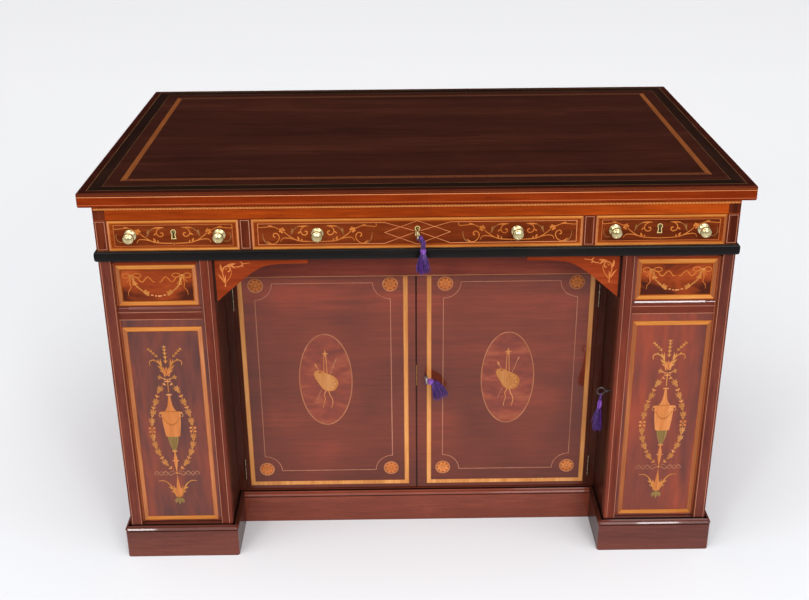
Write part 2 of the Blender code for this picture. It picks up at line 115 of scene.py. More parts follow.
def mix(nt, fac, a, b):
    n = nt.nodes.new("ShaderNodeMix")
    n.data_type = "RGBA"
    for socket, v in (("Factor", fac), ("A", a), ("B", b)):
        target = [s for s in n.inputs if s.name == socket and (s.type == ("VALUE" if socket == "Factor" else "RGBA"))][0]
        if hasattr(v, "is_output"):
            nt.links.new(v, target)
        else:
            target.default_value = v
    return [s for s in n.outputs if s.type == "RGBA"][0]


STRETCH = {"X": (0.07, 1, 1), "Y": (1, 0.07, 1), "Z": (1, 1, 0.07)}


def wood(name, dark, mid, light, grain="X", seed=0.0, figure=1.0, pores=0.35, rough=0.36, coat=0.0, mottle=0.2, spec=0.04, rise=0.0, east=0.0):
    """Polished wood: broad figure, fine streaks and short pores along the grain; rise makes it lighter with height, east towards the right."""
    m, nt, sh = new_material(name)
    tc = nt.nodes.new("ShaderNodeTexCoord")
    mp = nt.nodes.new("ShaderNodeMapping")
    mp.inputs["Location"].default_value = (seed * 3.7, seed * 1.9, seed * 2.3)
    mp.inputs["Scale"].default_value = STRETCH[grain]
    nt.links.new(tc.outputs["Object"], mp.inputs["Vector"])
    along = mp.outputs["Vector"]
    broad = noise(nt, along, 16.0 * figure, 3.0, 0.55, 0.6)
    streak = noise(nt, along, 150.0, 2.0, 0.6, 0.2)
    blotch = noise(nt, tc.outputs["Object"], 7.0, 2.0, 0.5, 0.3)
    value = maths(nt, "MULTIPLY", broad, 0.55)
    value = maths(nt, "ADD", value, maths(nt, "MULTIPLY", streak, 0.35 - 0.1 * mottle))
    value = maths(nt, "ADD", value, maths(nt, "MULTIPLY", blotch, 0.10 + 0.4 * mottle))
    value = maths(nt, "SUBTRACT", value, 0.15 * mottle)
    if rise or east:
        sep = nt.nodes.new("ShaderNodeSeparateXYZ")
        nt.links.new(tc.outputs["Object"], sep.inputs["Vector"])
        value = maths(nt, "ADD", value, maths(nt, "MULTIPLY", maths(nt, "SUBTRACT", sep.outputs["Z"], 0.33), rise))
        value = maths(nt, "ADD", value, maths(nt, "MULTIPLY", maths(nt, "MAXIMUM", maths(nt, "SUBTRACT", sep.outputs["X"], 0.15), 0.0), east))
    colour = ramp(nt, value, [(0.34, lin(dark)), (0.52, lin(mid)), (0.70, lin(light))])
    fine = noise(nt, along, 620.0, 1.0, 0.5, 0.0)
    pore = ramp(nt, fine, [(0.58, (0, 0, 0, 1)), (0.72, (1, 1, 1, 1))])
    shade = tuple(c * 0.55 for c in lin(dark)[:3]) + (1.0,)
    colour = mix(nt, maths(nt, "MULTIPLY", pore, pores), colour, shade)
    nt.links.new(colour, sh.inputs["Base Color"])
    nt.links.new(maths(nt, "ADD", maths(nt, "MULTIPLY", streak, 0.12), rough - 0.06), sh.inputs["Roughness"])
    sh.inputs["Coat Weight"].default_value = coat
    sh.inputs["Coat Roughness"].default_value = 0.06
    sh.inputs["Specular IOR Level"].default_value = spec
    return m


def rope_wood(name, pale, deep, across, pitch, rough=0.36):
    """Satinwood cut into slanting slips, light and dark by turns, along X."""
    m, nt, sh = new_material(name)
    tc = nt.nodes.new("ShaderNodeTexCoord")
    sep = nt.nodes.new("ShaderNodeSeparateXYZ")
    nt.links.new(tc.outputs["Object"], sep.inputs["Vector"])
    turn = maths(nt, "ADD", sep.outputs["X"], maths(nt, "MULTIPLY", sep.outputs[across], 0.8))
    turn = maths(nt, "SINE", maths(nt, "MULTIPLY", turn, 2 * math.pi / pitch), 0.0)
    grain = noise(nt, tc.outputs["Object"], 300.0, 2.0)
    value = maths(nt, "ADD", maths(nt, "MULTIPLY", turn, 0.34), maths(nt, "MULTIPLY", grain, 0.9))
    colour = ramp(nt, value, [(0.18, lin(deep)), (0.62, lin(pale))])
    nt.links.new(colour, sh.inputs["Base Color"])
    nt.links.new(maths(nt, "ADD", maths(nt, "MULTIPLY", grain, 0.1), rough - 0.05), sh.inputs["Roughness"])
    sh.inputs["Specular IOR Level"].default_value = 0.1
    return m


def metal(name, dark, light, rough, scale=120.0):
    m, nt, sh = new_material(name)
    tc = nt.nodes.new("ShaderNodeTexCoord")
    cloud = noise(nt, tc.outputs["Object"], scale, 3.0, 0.6)
    nt.links.new(ramp(nt, cloud, [(0.3, lin(dark)), (0.7, lin(light))]), sh.inputs["Base Color"])
    nt.links.new(maths(nt, "ADD", maths(nt, "MULTIPLY", cloud, 0.16), rough - 0.08), sh.inputs["Roughness"])
    sh.inputs["Metallic"].default_value = 1.0
    return m


def silk(name, dark, mid, light):
    """Shining thread: bright and dark strands side by side."""
    m, nt, sh = new_material(name)
    tc = nt.nodes.new("ShaderNodeTexCoord")
    mp = nt.nodes.new("ShaderNodeMapping")
    mp.inputs["Scale"].default_value = (1, 1, 0.12)
    nt.links.new(tc.outputs["Object"], mp.inputs["Vector"])
    strand = noise(nt, mp.outputs["Vector"], 620.0, 2.0, 0.6)
    nt.links.new(ramp(nt, strand, [(0.34, lin(dark)), (0.52, lin(mid)), (0.70, lin(light))]), sh.inputs["Base Color"])
    nt.links.new(maths(nt, "ADD", maths(nt, "MULTIPLY", strand, 0.2), 0.36), sh.inputs["Roughness"])
    sh.inputs["Sheen Weight"].default_value = 0.1
    sh.inputs["Sheen Roughness"].default_value = 0.35
    return m


def figured(name, dark, mid, light, seed, turn, stretch, size, coat, fleck=0.2, shade=0.0):
    """Veneer with cloudy figure: turn is the slant of the figure in degrees, size its patches to the metre; shade darkens the lower corners of an upper panel."""
    m, nt, sh = new_material(name)
    tc = nt.nodes.new("ShaderNodeTexCoord")
    mp = nt.nodes.new("ShaderNodeMapping")
    mp.inputs["Location"].default_value = (seed, seed * 0.7, seed * 0.3)
    mp.inputs["Rotation"].default_value = (0, math.radians(turn), 0)
    mp.inputs["Scale"].default_value = stretch
    nt.links.new(tc.outputs["Object"], mp.inputs["Vector"])
    broad = noise(nt, mp.outputs["Vector"], size, 3.0, 0.55, 0.8)
    fine = noise(nt, mp.outputs["Vector"], size * 6.0, 2.0, 0.5, 0.2)
    value = maths(nt, "ADD", maths(nt, "MULTIPLY", broad, 1.0 - fleck), maths(nt, "MULTIPLY", fine, fleck))
    if shade:
        sep = nt.nodes.new("ShaderNodeSeparateXYZ")
        nt.links.new(tc.outputs["Object"], sep.inputs["Vector"])
        low = maths(nt, "MAXIMUM", maths(nt, "MULTIPLY", maths(nt, "SUBTRACT", 0.608, sep.outputs["Z"]), 1 / 0.032), 0.0)
        out = maths(nt, "MULTIPLY", maths(nt, "SUBTRACT", maths(nt, "ABSOLUTE", sep.outputs["X"], 0.0), 0.4865), 1 / 0.058)
        out = maths(nt, "ADD", maths(nt, "MULTIPLY", maths(nt, "MULTIPLY", out, out), 0.7), 0.3)
        value = maths(nt, "SUBTRACT", value, maths(nt, "MULTIPLY", maths(nt, "MULTIPLY", low, out), shade))
    nt.links.new(ramp(nt, value, [(0.34, lin(dark)), (0.50, lin(mid)), (0.66, lin(light))]), sh.inputs["Base Color"])
    nt.links.new(maths(nt, "ADD", maths(nt, "MULTIPLY", fine, 0.1), 0.3), sh.inputs["Roughness"])
    sh.inputs["Coat Weight"].default_value = coat
    sh.inputs["Coat Roughness"].default_value = 0.06
    sh.inputs["Specular IOR Level"].default_value = 0.05
    return m


MAT = {
    # solid and veneered mahogany
    "top_edge": wood("mahogany_top_edge", (96, 28, 4), (128, 43, 7), (152, 59, 13), "X", 1.0, 1.2, 0.3),
    "edge_dark": wood("mahogany_edge_dark", (66, 24, 8), (84, 31, 10), (104, 42, 16), "X", 57.0, 1.2, 0.3),
    # darker copy of the plinth wood for the left run: painted shade
    "plinth_left": wood("mahogany_plinth_left", (76, 33, 24), (96, 45, 33), (118, 59, 45), "X", 59.0, 0.9, coat=0.6),
    "top_border": wood("mahogany_top_border", (40, 15, 10), (52, 20, 14), (66, 27, 18), "X", 2.0),
    "top_field": wood("mahogany_top_field", (44, 19, 13), (58, 27, 19), (74, 37, 26), "X", 3.0, 0.8, 0.4, 0.36, 0.1),
    # frieze: east lightens it towards the right, a painted sheen
    "frieze": wood("mahogany_frieze", (114, 38, 6), (152, 58, 12), (190, 78, 17), "X", 5.0, 1.3, 0.3, east=0.42),
    "post": wood("mahogany_post", (72, 26, 12), (98, 40, 21), (118, 52, 29), "Z", 6.0, 1.5),
    "drawer": wood("mahogany_drawer", (98, 36, 7), (128, 52, 13), (152, 70, 21), "X", 7.0, 1.3),
    "drawer_field": wood("mahogany_drawer_field", (86, 31, 9), (113, 45, 15), (136, 60, 23), "X", 8.0, 1.6, mottle=0.6),
    "stile": wood("mahogany_stile", (76, 34, 26), (104, 48, 36), (126, 63, 48), "Z", 9.0, 1.5, coat=0.2, mottle=0.6),
    "stile_in": wood("mahogany_inner_stile", (82, 31, 18), (112, 45, 27), (138, 61, 39), "Z", 52.0, 1.5, coat=0.25, mottle=0.7),
    # dark mahogany for the kneehole's inner sides, hanging stiles and plinth returns: painted shade
    "inner": wood("mahogany_inner", (50, 20, 13), (67, 30, 20), (84, 40, 27), "Z", 10.0, coat=0.4),
    "side": wood("mahogany_side", (92, 36, 24), (120, 50, 32), (146, 68, 44), "Z", 11.0, 0.8, coat=0.5),
    "header": wood("mahogany_header", (94, 37, 26), (116, 47, 33), (134, 60, 44), "X", 12.0, coat=0.3),
    "spandrel": wood("mahogany_spandrel", (114, 40, 16), (143, 55, 24), (168, 75, 36), "X", 13.0, 1.6, 0.25),
    # kneehole doors: rise makes them lighter with height, painted light and shade
    "door": wood("mahogany_door", (92, 40, 27), (115, 49, 32), (146, 61, 39), "X", 14.0, 0.7, 0.15, coat=0.7, mottle=0.8, rise=0.55),
    "oval": figured("mahogany_oval", (110, 50, 38), (134, 59, 42), (160, 82, 52), 46.0, 24, (0.35, 1, 1), 34.0, 0.6),
    "panel": figured("mahogany_panel_left", (68, 37, 37), (98, 48, 38), (132, 58, 38), 16.0, 5, (1, 1, 0.20), 14.0, 0.65, 0.28),
    "panel_right": figured("mahogany_panel_right", (88, 42, 35), (122, 53, 36), (150, 61, 35), 23.0, 4, (1, 1, 0.20), 14.0, 0.6, 0.28),
    "door_edge": wood("mahogany_door_edge", (58, 28, 20), (76, 38, 28), (94, 49, 37), "Z", 63.0, 1.5),
    "upper": figured("mahogany_upper", (72, 29, 17), (138, 56, 23), (168, 75, 33), 17.4, 0, (0.5, 1, 1), 19.0, 0.05, 0.12, 0.26),
    "strip": wood("mahogany_strip", (90, 37, 23), (112, 47, 31), (132, 60, 41), "X", 18.0, coat=0.2),
    "strip_top": wood("mahogany_strip_top", (106, 38, 14), (132, 49, 19), (156, 63, 27), "X", 61.0, 1.3),
    "plinth": wood("mahogany_plinth", (82, 37, 28), (104, 50, 38), (126, 64, 50), "X", 19.0, 0.9, coat=0.6),
    "plinth_mid": wood("mahogany_plinth_middle", (94, 40, 25), (118, 53, 36), (140, 68, 48), "X", 34.0, 0.9, coat=0.6),
    "lip": wood("mahogany_lipping", (122, 61, 39), (150, 80, 53), (172, 100, 70), "Z", 35.0, 1.5),
    # inlaid woods
    "satin_x": wood("satinwood_across", (172, 98, 42), (205, 131, 62), (230, 162, 88), "X", 20.0, 2.0, 0.2),
    "satin_z": wood("satinwood_upright", (152, 89, 54), (189, 119, 76), (216, 149, 104), "Z", 21.0, 2.0, 0.2, east=-0.55),
    "satin_top": wood("satinwood_top_sides", (112, 60, 28), (132, 74, 38), (152, 90, 48), "Y", 22.0, 2.0, 0.2),
    "satin_door": wood("satinwood_door", (176, 106, 54), (212, 142, 78), (236, 172, 104), "Z", 47.0, 2.0, 0.2, coat=0.3),
    "edge_line": wood("boxwood_edge", (192, 108, 64), (218, 134, 84), (236, 160, 110), "X", 48.0, 2.0, 0.1),
    "edge_line_low": wood("boxwood_edge_low", (150, 72, 38), (176, 90, 52), (200, 112, 70), "X", 58.0, 2.0, 0.1),
    "arris": wood("mahogany_arris", (100, 44, 22), (124, 58, 31), (144, 74, 42), "X", 49.0, 2.0, 0.1),
    "bud": wood("motif_bud", (176, 108, 60), (202, 132, 80), (220, 156, 102), "Z", 50.0, 3.0, 0.2),
    "patera_rim": wood("motif_patera_rim", (162, 98, 63), (188, 120, 80), (208, 144, 103), "X", 53.0, 3.0, 0.2),
    "drawer_line": wood("boxwood_drawer", (172, 90, 48), (196, 110, 62), (214, 132, 84), "X", 54.0, 2.0, 0.15),
    "ebony_side": wood("ebony_sides", (28, 15, 11), (38, 21, 16), (50, 29, 21), "Y", 55.0, 1.5, 0.3, 0.34, 0.0),
    "hinge_brown": metal("brass_tarnished", (112, 54, 22), (146, 74, 32), 0.5),
    "bead": wood("mahogany_bead", (80, 36, 26), (100, 46, 34), (120, 58, 42), "X", 56.0, rough=0.2, coat=0.6, spec=0.25),
    "bright_iron": metal("iron_bright", (150, 144, 146), (206, 202, 204), 0.3),
    "keyhole": wood("keyhole_dark", (48, 30, 16), (66, 42, 24), (84, 56, 34), "Z", 51.0, 2.0, 0.2),
    "steel": metal("hinge_steel", (118, 106, 86), (180, 168, 142), 0.26, 300.0),
    "oval_line": wood("boxwood_oval", (146, 89, 61), (172, 110, 78), (192, 131, 97), "Z", 62.0, 2.0, 0.15),
    "rope_top": rope_wood("satinwood_rope_top", (118, 66, 40), (62, 26, 14), "Y", 0.0065),
    "rope_far": rope_wood("satinwood_rope_far", (96, 56, 36), (58, 28, 18), "Y", 0.0065),
    "rope_frieze": rope_wood("satinwood_rope_frieze", (236, 152, 84), (208, 116, 54), "Z", 0.006),
    "amber": wood("amber_fringe", (140, 66, 22), (168, 84, 30), (190, 104, 44), "X", 36.0, 2.0, 0.2),
    "box": wood("boxwood_line", (156, 96, 56), (184, 122, 76), (206, 148, 100), "X", 23.0, 2.0, 0.15),
    "rose": wood("boxwood_rose", (158, 100, 76), (184, 122, 96), (204, 146, 118), "Z", 37.0, 2.0, 0.15),
    "box_dim": wood("boxwood_dim", (92, 62, 38), (122, 84, 50), (146, 106, 66), "X", 24.0, 2.0, 0.2),
    "volute": wood("motif_volute", (120, 78, 40), (150, 100, 55), (174, 124, 76), "X", 38.0, 2.0, 0.2),
    "gold": wood("motif_gold", (160, 96, 44), (192, 126, 64), (216, 154, 90), "Z", 25.0, 3.0, 0.2),
    "leafgold": wood("motif_leaf_gold", (150, 94, 50), (178, 116, 65), (200, 140, 87), "Z", 39.0, 3.0, 0.25),
    "bronze": wood("motif_bronze", (128, 70, 28), (160, 92, 40), (186, 116, 56), "X", 26.0, 3.0, 0.2),
    "scroll": wood("motif_scroll", (166, 88, 34), (194, 112, 50), (214, 134, 68), "X", 40.0, 3.0, 0.2),
    "orange": wood("motif_orange", (186, 100, 44), (212, 126, 66), (230, 152, 92), "Z", 27.0, 3.0, 0.15),
    "urn": wood("motif_urn", (174, 100, 52), (200, 123, 69), (218, 146, 91), "Z", 41.0, 3.0, 0.2),
    "green": wood("motif_green", (112, 90, 52), (138, 110, 64), (160, 131, 86), "Z", 28.0, 3.0, 0.25),
    "pale": wood("motif_pale", (190, 134, 96), (214, 162, 122), (232, 188, 150), "X", 29.0, 3.0, 0.1),
    "patera_base": wood("motif_patera_ground", (122, 56, 27), (148, 69, 34), (170, 86, 45), "X", 42.0, 3.0, 0.2),
    "petal": wood("motif_petal", (178, 100, 52), (206, 122, 66), (226, 148, 88), "X", 43.0, 3.0, 0.2),
    "rim": wood("motif_rim", (148, 96, 70), (172, 117, 87), (192, 138, 107), "X", 44.0, 3.0, 0.2),
    "ebony": wood("ebony", (20, 12, 9), (30, 18, 12), (42, 25, 17), "X", 30.0, 1.5, 0.3, 0.34, 0.0, spec=0.06),
    "seam": wood("seam_dark", (44, 24, 19), (58, 34, 28), (72, 44, 36), "Z", 31.0, 1.5, 0.3, 0.6, 0.0),
    "quirk": wood("quirk_dark", (18, 9, 7), (26, 14, 11), (36, 20, 15), "X", 45.0, 1.5, 0.3, 0.6, 0.0, spec=0.04),
    "moulding": wood("ebonised_wood", (12, 10, 9), (20, 17, 16), (30, 26, 24), "X", 32.0, 1.5, 0.2, 0.30, 0.0, spec=0.14),
    # other materials
    "oak": wood("oak_lining", (134, 96, 58), (164, 124, 80), (186, 148, 104), "Y", 33.0, 1.2, 0.5, 0.6, 0.0),
    "brass": metal("brass", (178, 159, 108), (228, 213, 166), 0.26, 60.0),
    "cream": wood("brass_lining", (190, 164, 96), (216, 192, 122), (236, 216, 152), "Z", 60.0, 2.0, 0.1, 0.3, 0.4, spec=0.5),
    "brass_old": metal("brass_old", (132, 92, 44), (172, 126, 64), 0.36),
    "iron": metal("iron", (70, 66, 62), (104, 98, 92), 0.45),
    "iron_dark": metal("iron_dark", (84, 74, 74), (112, 100, 100), 0.42),
    "silk": silk("silk_violet", (28, 8, 50), (62, 22, 100), (116, 54, 160)),
    "silk_head": silk("silk_head", (78, 34, 116), (124, 62, 168), (176, 112, 214)),
    "cord": silk("silk_cord", (40, 14, 62), (84, 36, 124), (150, 84, 190)),
}


def paint(obj, kind):
    obj.data.materials.clear()
    obj.data.materials.append(MAT[kind])
    for p in obj.data.polygons:
        p.material_index = 0


# ---------------------------------------------------------------- pieces
def piece(name, bm, kind, body, smooth_angle=None):
    """One visual piece from closed bodies in bm, riding on a CAD body."""
    bmesh.ops.recalc_face_normals(bm, faces=bm.faces[:])
    me = bpy.data.meshes.new(name)
    bm.to_mesh(me)
    bm.free()
    o = bpy.data.objects.new(name, me)
    bpy.context.scene.collection.objects.link(o)
    me.materials.append(MAT[kind])
    if smooth_angle is not None:
        me.shade_smooth()
        me.set_sharp_from_angle(angle=math.radians(smooth_angle))
    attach(o, body)
    return o


def rings(bm, loops, closed=False):
    """Skin through loops of equal length, capped at both ends unless closed."""
    made = [[bm.verts.new(p) for p in loop] for loop in loops]
    n = len(made[0])
    last = len(made) if closed else len(made) - 1
    for a in range(last):
        p, q = made[a], made[(a + 1) % len(made)]
        for i in range(n):
            j = (i + 1) % n
            bm.faces.new((p[i], p[j], q[j], q[i]))
    if not closed:
        bm.faces.new(made[0][::-1])
        bm.faces.new(made[-1])


def lathe(bm, profile, place, sides=40):
    """Turned body: profile of (radius, height) pairs, its two ends on the axis."""
    loops = []
    for r, h in profile[1:-1]:
        loops.append([bm.verts.new(place @ Vector((r * math.cos(2 * math.pi * k / sides), r * math.sin(2 * math.pi * k / sides), h))) for k in range(sides)])
    ends = [bm.verts.new(place @ Vector((0, 0, profile[i][1]))) for i in (0, -1)]
    for a, b in zip(loops, loops[1:]):
        for k in range(sides):
            j = (k + 1) % sides
            bm.faces.new((a[k], a[j], b[j], b[k]))
    for k in range(sides):
        j = (k + 1) % sides
        bm.faces.new((ends[0], loops[0][j], loops[0][k]))
        bm.faces.new((ends[1], loops[-1][k], loops[-1][j]))


def block(bm, lo, hi):
    (x0, y0, z0), (x1, y1, z1) = lo, hi
    rings(bm, [[Vector((x0, y0, z)), Vector((x1, y0, z)), Vector((x1, y1, z)), Vector((x0, y1, z))] for z in (z0, z1)])


def mitred(bm, path, profile, closed):
    """Moulding along a plan path, its outside on the right of the path; profile pairs are (out, height)."""
    pts = [Vector(p) for p in path]
    n = len(pts)
    loops = []
    for i, p in enumerate(pts):
        out = []
        if closed or i > 0:
            d = (p - pts[i - 1]).normalized()
            out.append(Vector((d.y, -d.x)))
        if closed or i < n - 1:
            d = (pts[(i + 1) % n] - p).normalized()
            out.append(Vector((d.y, -d.x)))
        m = out[0] if len(out) == 1 else (out[0] + out[1]) / (1 + out[0].dot(out[1]))
        loops.append([Vector((p.x + m.x * o, p.y + m.y * o, z)) for o, z in profile])
    rings(bm, loops, closed)


def smooth(points, steps=6, closed=False):
    """A flowing line through the points."""
    pts = [Vector(p) for p in points]
    n = len(pts)
    out = []
    for i in range(n if closed else n - 1):
        b, c = pts[i], pts[(i + 1) % n]
        a = pts[i - 1] if (i > 0 or closed) else b * 2 - c
        d = pts[(i + 2) % n] if (i + 2 < n or closed) else c * 2 - b
        for k in range(steps):
            t = k / steps
            out.append(0.5 * (2 * b + (c - a) * t + (2 * a - 5 * b + 4 * c - d) * t * t + (3 * b - a - 3 * c + d) * t ** 3))
    if not closed:
        out.append(pts[-1])
    return out


# ---------------------------------------------------------------- inlay
INLAY = {}


class Pen:
    """Draws inlay on a flat face: u to the right and v up on it, as thin closed pieces gathered by body and wood."""
    count = 0

    def __init__(self, body, origin, right, up, flip=1.0):
        self.body, self.o, self.r, self.u, self.flip = body, Vector(origin), Vector(right), Vector(up), flip
        self.n = self.r.cross(self.u)

    def moved(self, du, dv, flip=1.0):
        return Pen(self.body, self.o + self.r * (du * self.flip) + self.u * dv, self.r, self.u, self.flip * flip)

    def at(self, p, h):
        return self.o + self.r * (p[0] * self.flip) + self.u * p[1] + self.n * h

    def mesh(self, kind):
        return INLAY.setdefault((self.body, kind), bmesh.new())

    def lift(self, layer):
        Pen.count += 1
        return layer + (Pen.count % 60) * 3e-7

    def poly(self, kind, pts, layer=MOTIF):
        bm, h = self.mesh(kind), self.lift(layer)
        rings(bm, [[self.at(p, z) for p in pts] for z in (-SINK, h)])

    def rect(self, kind, u0, v0, u1, v1, layer=SHEET):
        self.poly(kind, [(u0, v0), (u1, v0), (u1, v1), (u0, v1)], layer)

    def stroke(self, kind, pts, width, layer=LINE, closed=False, tip=None):
        """A strip along pts; width may taper to tip at its far end."""
        pts = [Vector(p) for p in pts]
        n = len(pts)
        left, right = [], []
        for i, p in enumerate(pts):
            dirs = []
            if closed or i > 0:
                dirs.append((p - pts[i - 1]).normalized())
            if closed or i < n - 1:
                dirs.append((pts[(i + 1) % n] - p).normalized())
            sides = [Vector((-d.y, d.x)) for d in dirs]
            s = sides[0] if len(sides) == 1 else sides[0] + sides[1]
            s = s.normalized() if s.length > 1e-9 else sides[0]
            w = width if tip is None else width + (tip - width) * i / (n - 1)
            s = s * (w / 2) / max(0.4, s.dot(sides[0]))
            left.append(p + s)
            right.append(p - s)
        bm, h = self.mesh(kind), self.lift(layer)
        loops = [[self.at(a, -SINK), self.at(b, -SINK), self.at(b, h), self.at(a, h)] for a, b in zip(left, right)]
        rings(bm, loops, closed)

    def frame_line(self, kind, u0, v0, u1, v1, width, layer=LINE):
        self.stroke(kind, [(u0, v0), (u1, v0), (u1, v1), (u0, v1)], width, layer, True)

    def banding(self, across, upright, u0, v0, u1, v1, width, layer=BAND, narrow=None):
        """Mitred border inside the rectangle, with its own wood for level and upright lengths; narrow is the width of the uprights."""
        w, n = width, width if narrow is None else narrow
        self.poly(across, [(u0, v0), (u1, v0), (u1 - n, v0 + w), (u0 + n, v0 + w)], layer)
        self.poly(across, [(u0, v1), (u0 + n, v1 - w), (u1 - n, v1 - w), (u1, v1)], layer)
        self.poly(upright, [(u0, v0), (u0 + n, v0 + w), (u0 + n, v1 - w), (u0, v1)], layer)
        self.poly(upright, [(u1, v0), (u1, v1), (u1 - n, v1 - w), (u1 - n, v0 + w)], layer)

    def leaf(self, kind, base, tip, width, bend=0.0, layer=MOTIF, belly=0.45, n=9):
        base, tip = Vector(base), Vector(tip)
        d = tip - base
        side = Vector((-d.y, d.x)).normalized()
        ctrl = (base + tip) / 2 + side * bend
        left, right = [], []
        for k in range(1, n):
            t = k / n
            p = base * (1 - t) ** 2 + ctrl * (2 * t * (1 - t)) + tip * t * t
            g = ((ctrl - base) * (1 - t) + (tip - ctrl) * t).normalized()
            s = Vector((-g.y, g.x))
            e = math.log(0.5) / math.log(belly)
            w = width / 2 * math.sin(math.pi * t ** e) ** 0.8
            left.append(p + s * w)
            right.append(p - s * w)
        self.poly(kind, [base] + right + [tip] + left[::-1], layer)

    def disc(self, kind, c, ru, rv=None, layer=MOTIF, n=28):
        rv = ru if rv is None else rv
        self.poly(kind, [(c[0] + ru * math.cos(2 * math.pi * k / n), c[1] + rv * math.sin(2 * math.pi * k / n)) for k in range(n)], layer)

    def ring(self, kind, c, ru, rv, width, layer=LINE, n=48):
        self.stroke(kind, [(c[0] + ru * math.cos(2 * math.pi * k / n), c[1] + rv * math.sin(2 * math.pi * k / n)) for k in range(n)], width, layer, True)


def mm(points):
    return [(p[0] * MM, p[1] * MM) for p in points]


def flow(pen, kind, points, width, tip=None, layer=MOTIF, steps=5):
    """A curved stem through points given in millimetres."""
    pen.stroke(kind, smooth(mm(points), steps), width * MM, layer, tip=None if tip is None else tip * MM)


def both(pen):
    return pen, pen.moved(0, 0, -1.0)


# ---------------------------------------------------------------- rising top
def rounded_rectangle(x0, y0, x1, y1, z, inset, radius, steps=5):
    pts = []
    r = max(radius - inset, 0.0004)
    for cx, cy, start in ((x1, y0, -90), (x1, y1, 0), (x0, y1, 90), (x0, y0, 180)):
        sx, sy = (1 if cx == x1 else -1), (1 if cy == y1 else -1)
        ox, oy = cx - sx * (inset + r), cy - sy * (inset + r)
        for k in range(steps + 1):
            a = math.radians(start + 90 * k / steps)
            pts.append(Vector((ox + r * math.cos(a), oy + r * math.sin(a), z)))
    return pts


bm = bmesh.new()
ARRIS = 0.0034
profile = [(0.0010, TOP_UNDER), (0.0, TOP_UNDER + 0.0010)]
for k in range(7):
    a = math.radians(90 * k / 6)
    profile.append((ARRIS * (1 - math.cos(a)), TOP_FACE - ARRIS * (1 - math.sin(a))))
rings(bm, [rounded_rectangle(-TOP_HALF, TOP_NEAR, TOP_HALF, TOP_FAR, z, i, 0.0045) for i, z in profile])
for side in (-1, 1):
    # hanger block with the hole that the strut's rod turns in
    x0, x1 = (0.172, 0.196) if side > 0 else (-0.196, -0.172)
    yc, zc, rod = -0.0287, 0.757, 0.0045
    square, hole = [], []
    for k in range(32):
        a = 2 * math.pi * (k + 0.5) / 32
        c, s = math.cos(a), math.sin(a)
        reach = min(0.010 / max(abs(c), 1e-6), (0.0088 if s > 0 else 0.009) / max(abs(s), 1e-6))
        square.append((yc + c * reach, zc + s * reach))
        hole.append((yc + c * rod, zc + s * rod))
    loops = [[Vector((x0, *a)), Vector((x1, *a)), Vector((x1, *b)), Vector((x0, *b))] for a, b in zip(square, hole)]
    rings(bm, loops, True)
# the board's own wood is darkened: painted shade and dark reflection on the rounded upper edge above the lines
top = piece("top_board", bm, "edge_dark", "leaf", 40)
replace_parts(top, "top_leaf")

pen = Pen("leaf", (0, 0, TOP_FACE), (1, 0, 0), (0, 1, 0))


def top_box(side, near, far):
    return -TOP_HALF + side, TOP_NEAR + near, TOP_HALF - side, TOP_FAR - far


u0, v0, u1, v1 = top_box(0.0036, 0.0036, 0.0036)
pen.banding("top_border", "top_border", u0, v0, u1, v1, 0.0129, SHEET)
u0, v0, u1, v1 = top_box(0.0165, 0.0165, 0.0165)
pen.banding("ebony", "ebony_side", u0, v0, u1, v1, 0.0235, SHEET)
pen.frame_line("box_dim", u0, v0, u1, v1, 0.0010)
u0, v0, u1, v1 = top_box(0.040, 0.040, 0.040)
pen.rect("top_field", u0, v0, u1, v1, SHEET)
pen.frame_line("box_dim", u0, v0, u1, v1, 0.0006)
u0, v0, u1, v1 = -0.5445, -0.3045, 0.5445, 0.322
pen.poly("rope_top", [(u0, v0), (u1, v0), (u1 - 0.0104, v0 + 0.0125), (u0 + 0.0104, v0 + 0.0125)], BAND)
pen.poly("rope_far", [(u0, v1), (u0 + 0.0104, v1 - 0.0135), (u1 - 0.0104, v1 - 0.0135), (u1, v1)], BAND)
pen.poly("satin_top", [(u0, v0), (u0 + 0.0104, v0 + 0.0125), (u0 + 0.0104, v1 - 0.0135), (u0, v1)], BAND)
pen.poly("satin_top", [(u1, v0), (u1, v1), (u1 - 0.0104, v1 - 0.0135), (u1 - 0.0104, v0 + 0.0125)], BAND)


def girdle(kind, z0, z1, proud):
    """A strip let into the edge all round the top."""
    bm = INLAY.setdefault(("leaf", kind), bmesh.new())
    section = [rounded_rectangle(-TOP_HALF, TOP_NEAR, TOP_HALF, TOP_FAR, z, i, 0.0045) for z, i in ((z0, SINK), (z0, -proud), (z1, -proud), (z1, SINK))]
    rings(bm, [list(loop) for loop in zip(*section)], True)


# veneer below, two lines, and a dim line under the arris that is a painted highlight
HIGH = TOP_FACE - TOP_UNDER
girdle("top_edge", TOP_UNDER + 0.0011, TOP_UNDER + HIGH * 0.72, SHEET)
for kind, share in (("edge_line_low", 0.17), ("edge_line", 0.72)):
    girdle(kind, TOP_UNDER + HIGH * share - 0.0006, TOP_UNDER + HIGH * share + 0.0006, LINE)
girdle("arris", TOP_FACE - 0.0046, TOP_FACE - 0.0036, SHEET)


# ---------------------------------------------------------------- frieze, posts and moulding
pen = Pen("carcass", (0, FRONT, 0), (1, 0, 0), (0, 0, 1))
# rope banding under the top, made brighter as painted light against the shade of the overhang
pen.rect("rope_frieze", -0.5860, 0.7535, 0.5860, 0.7570, BAND)
for side in both(pen):
    side.rect("post", 0.5668, 0.7345, 0.5887, 0.7534, SHEET)
    for x0, x1 in ((0.5667, 0.5888), (0.3042, 0.3253)):
        side.rect("post", x0, 0.6743, x1, 0.7338, SHEET)
        side.frame_line("rose", x0 + 0.003, 0.6772, x1 - 0.003, 0.7310, 0.0011)

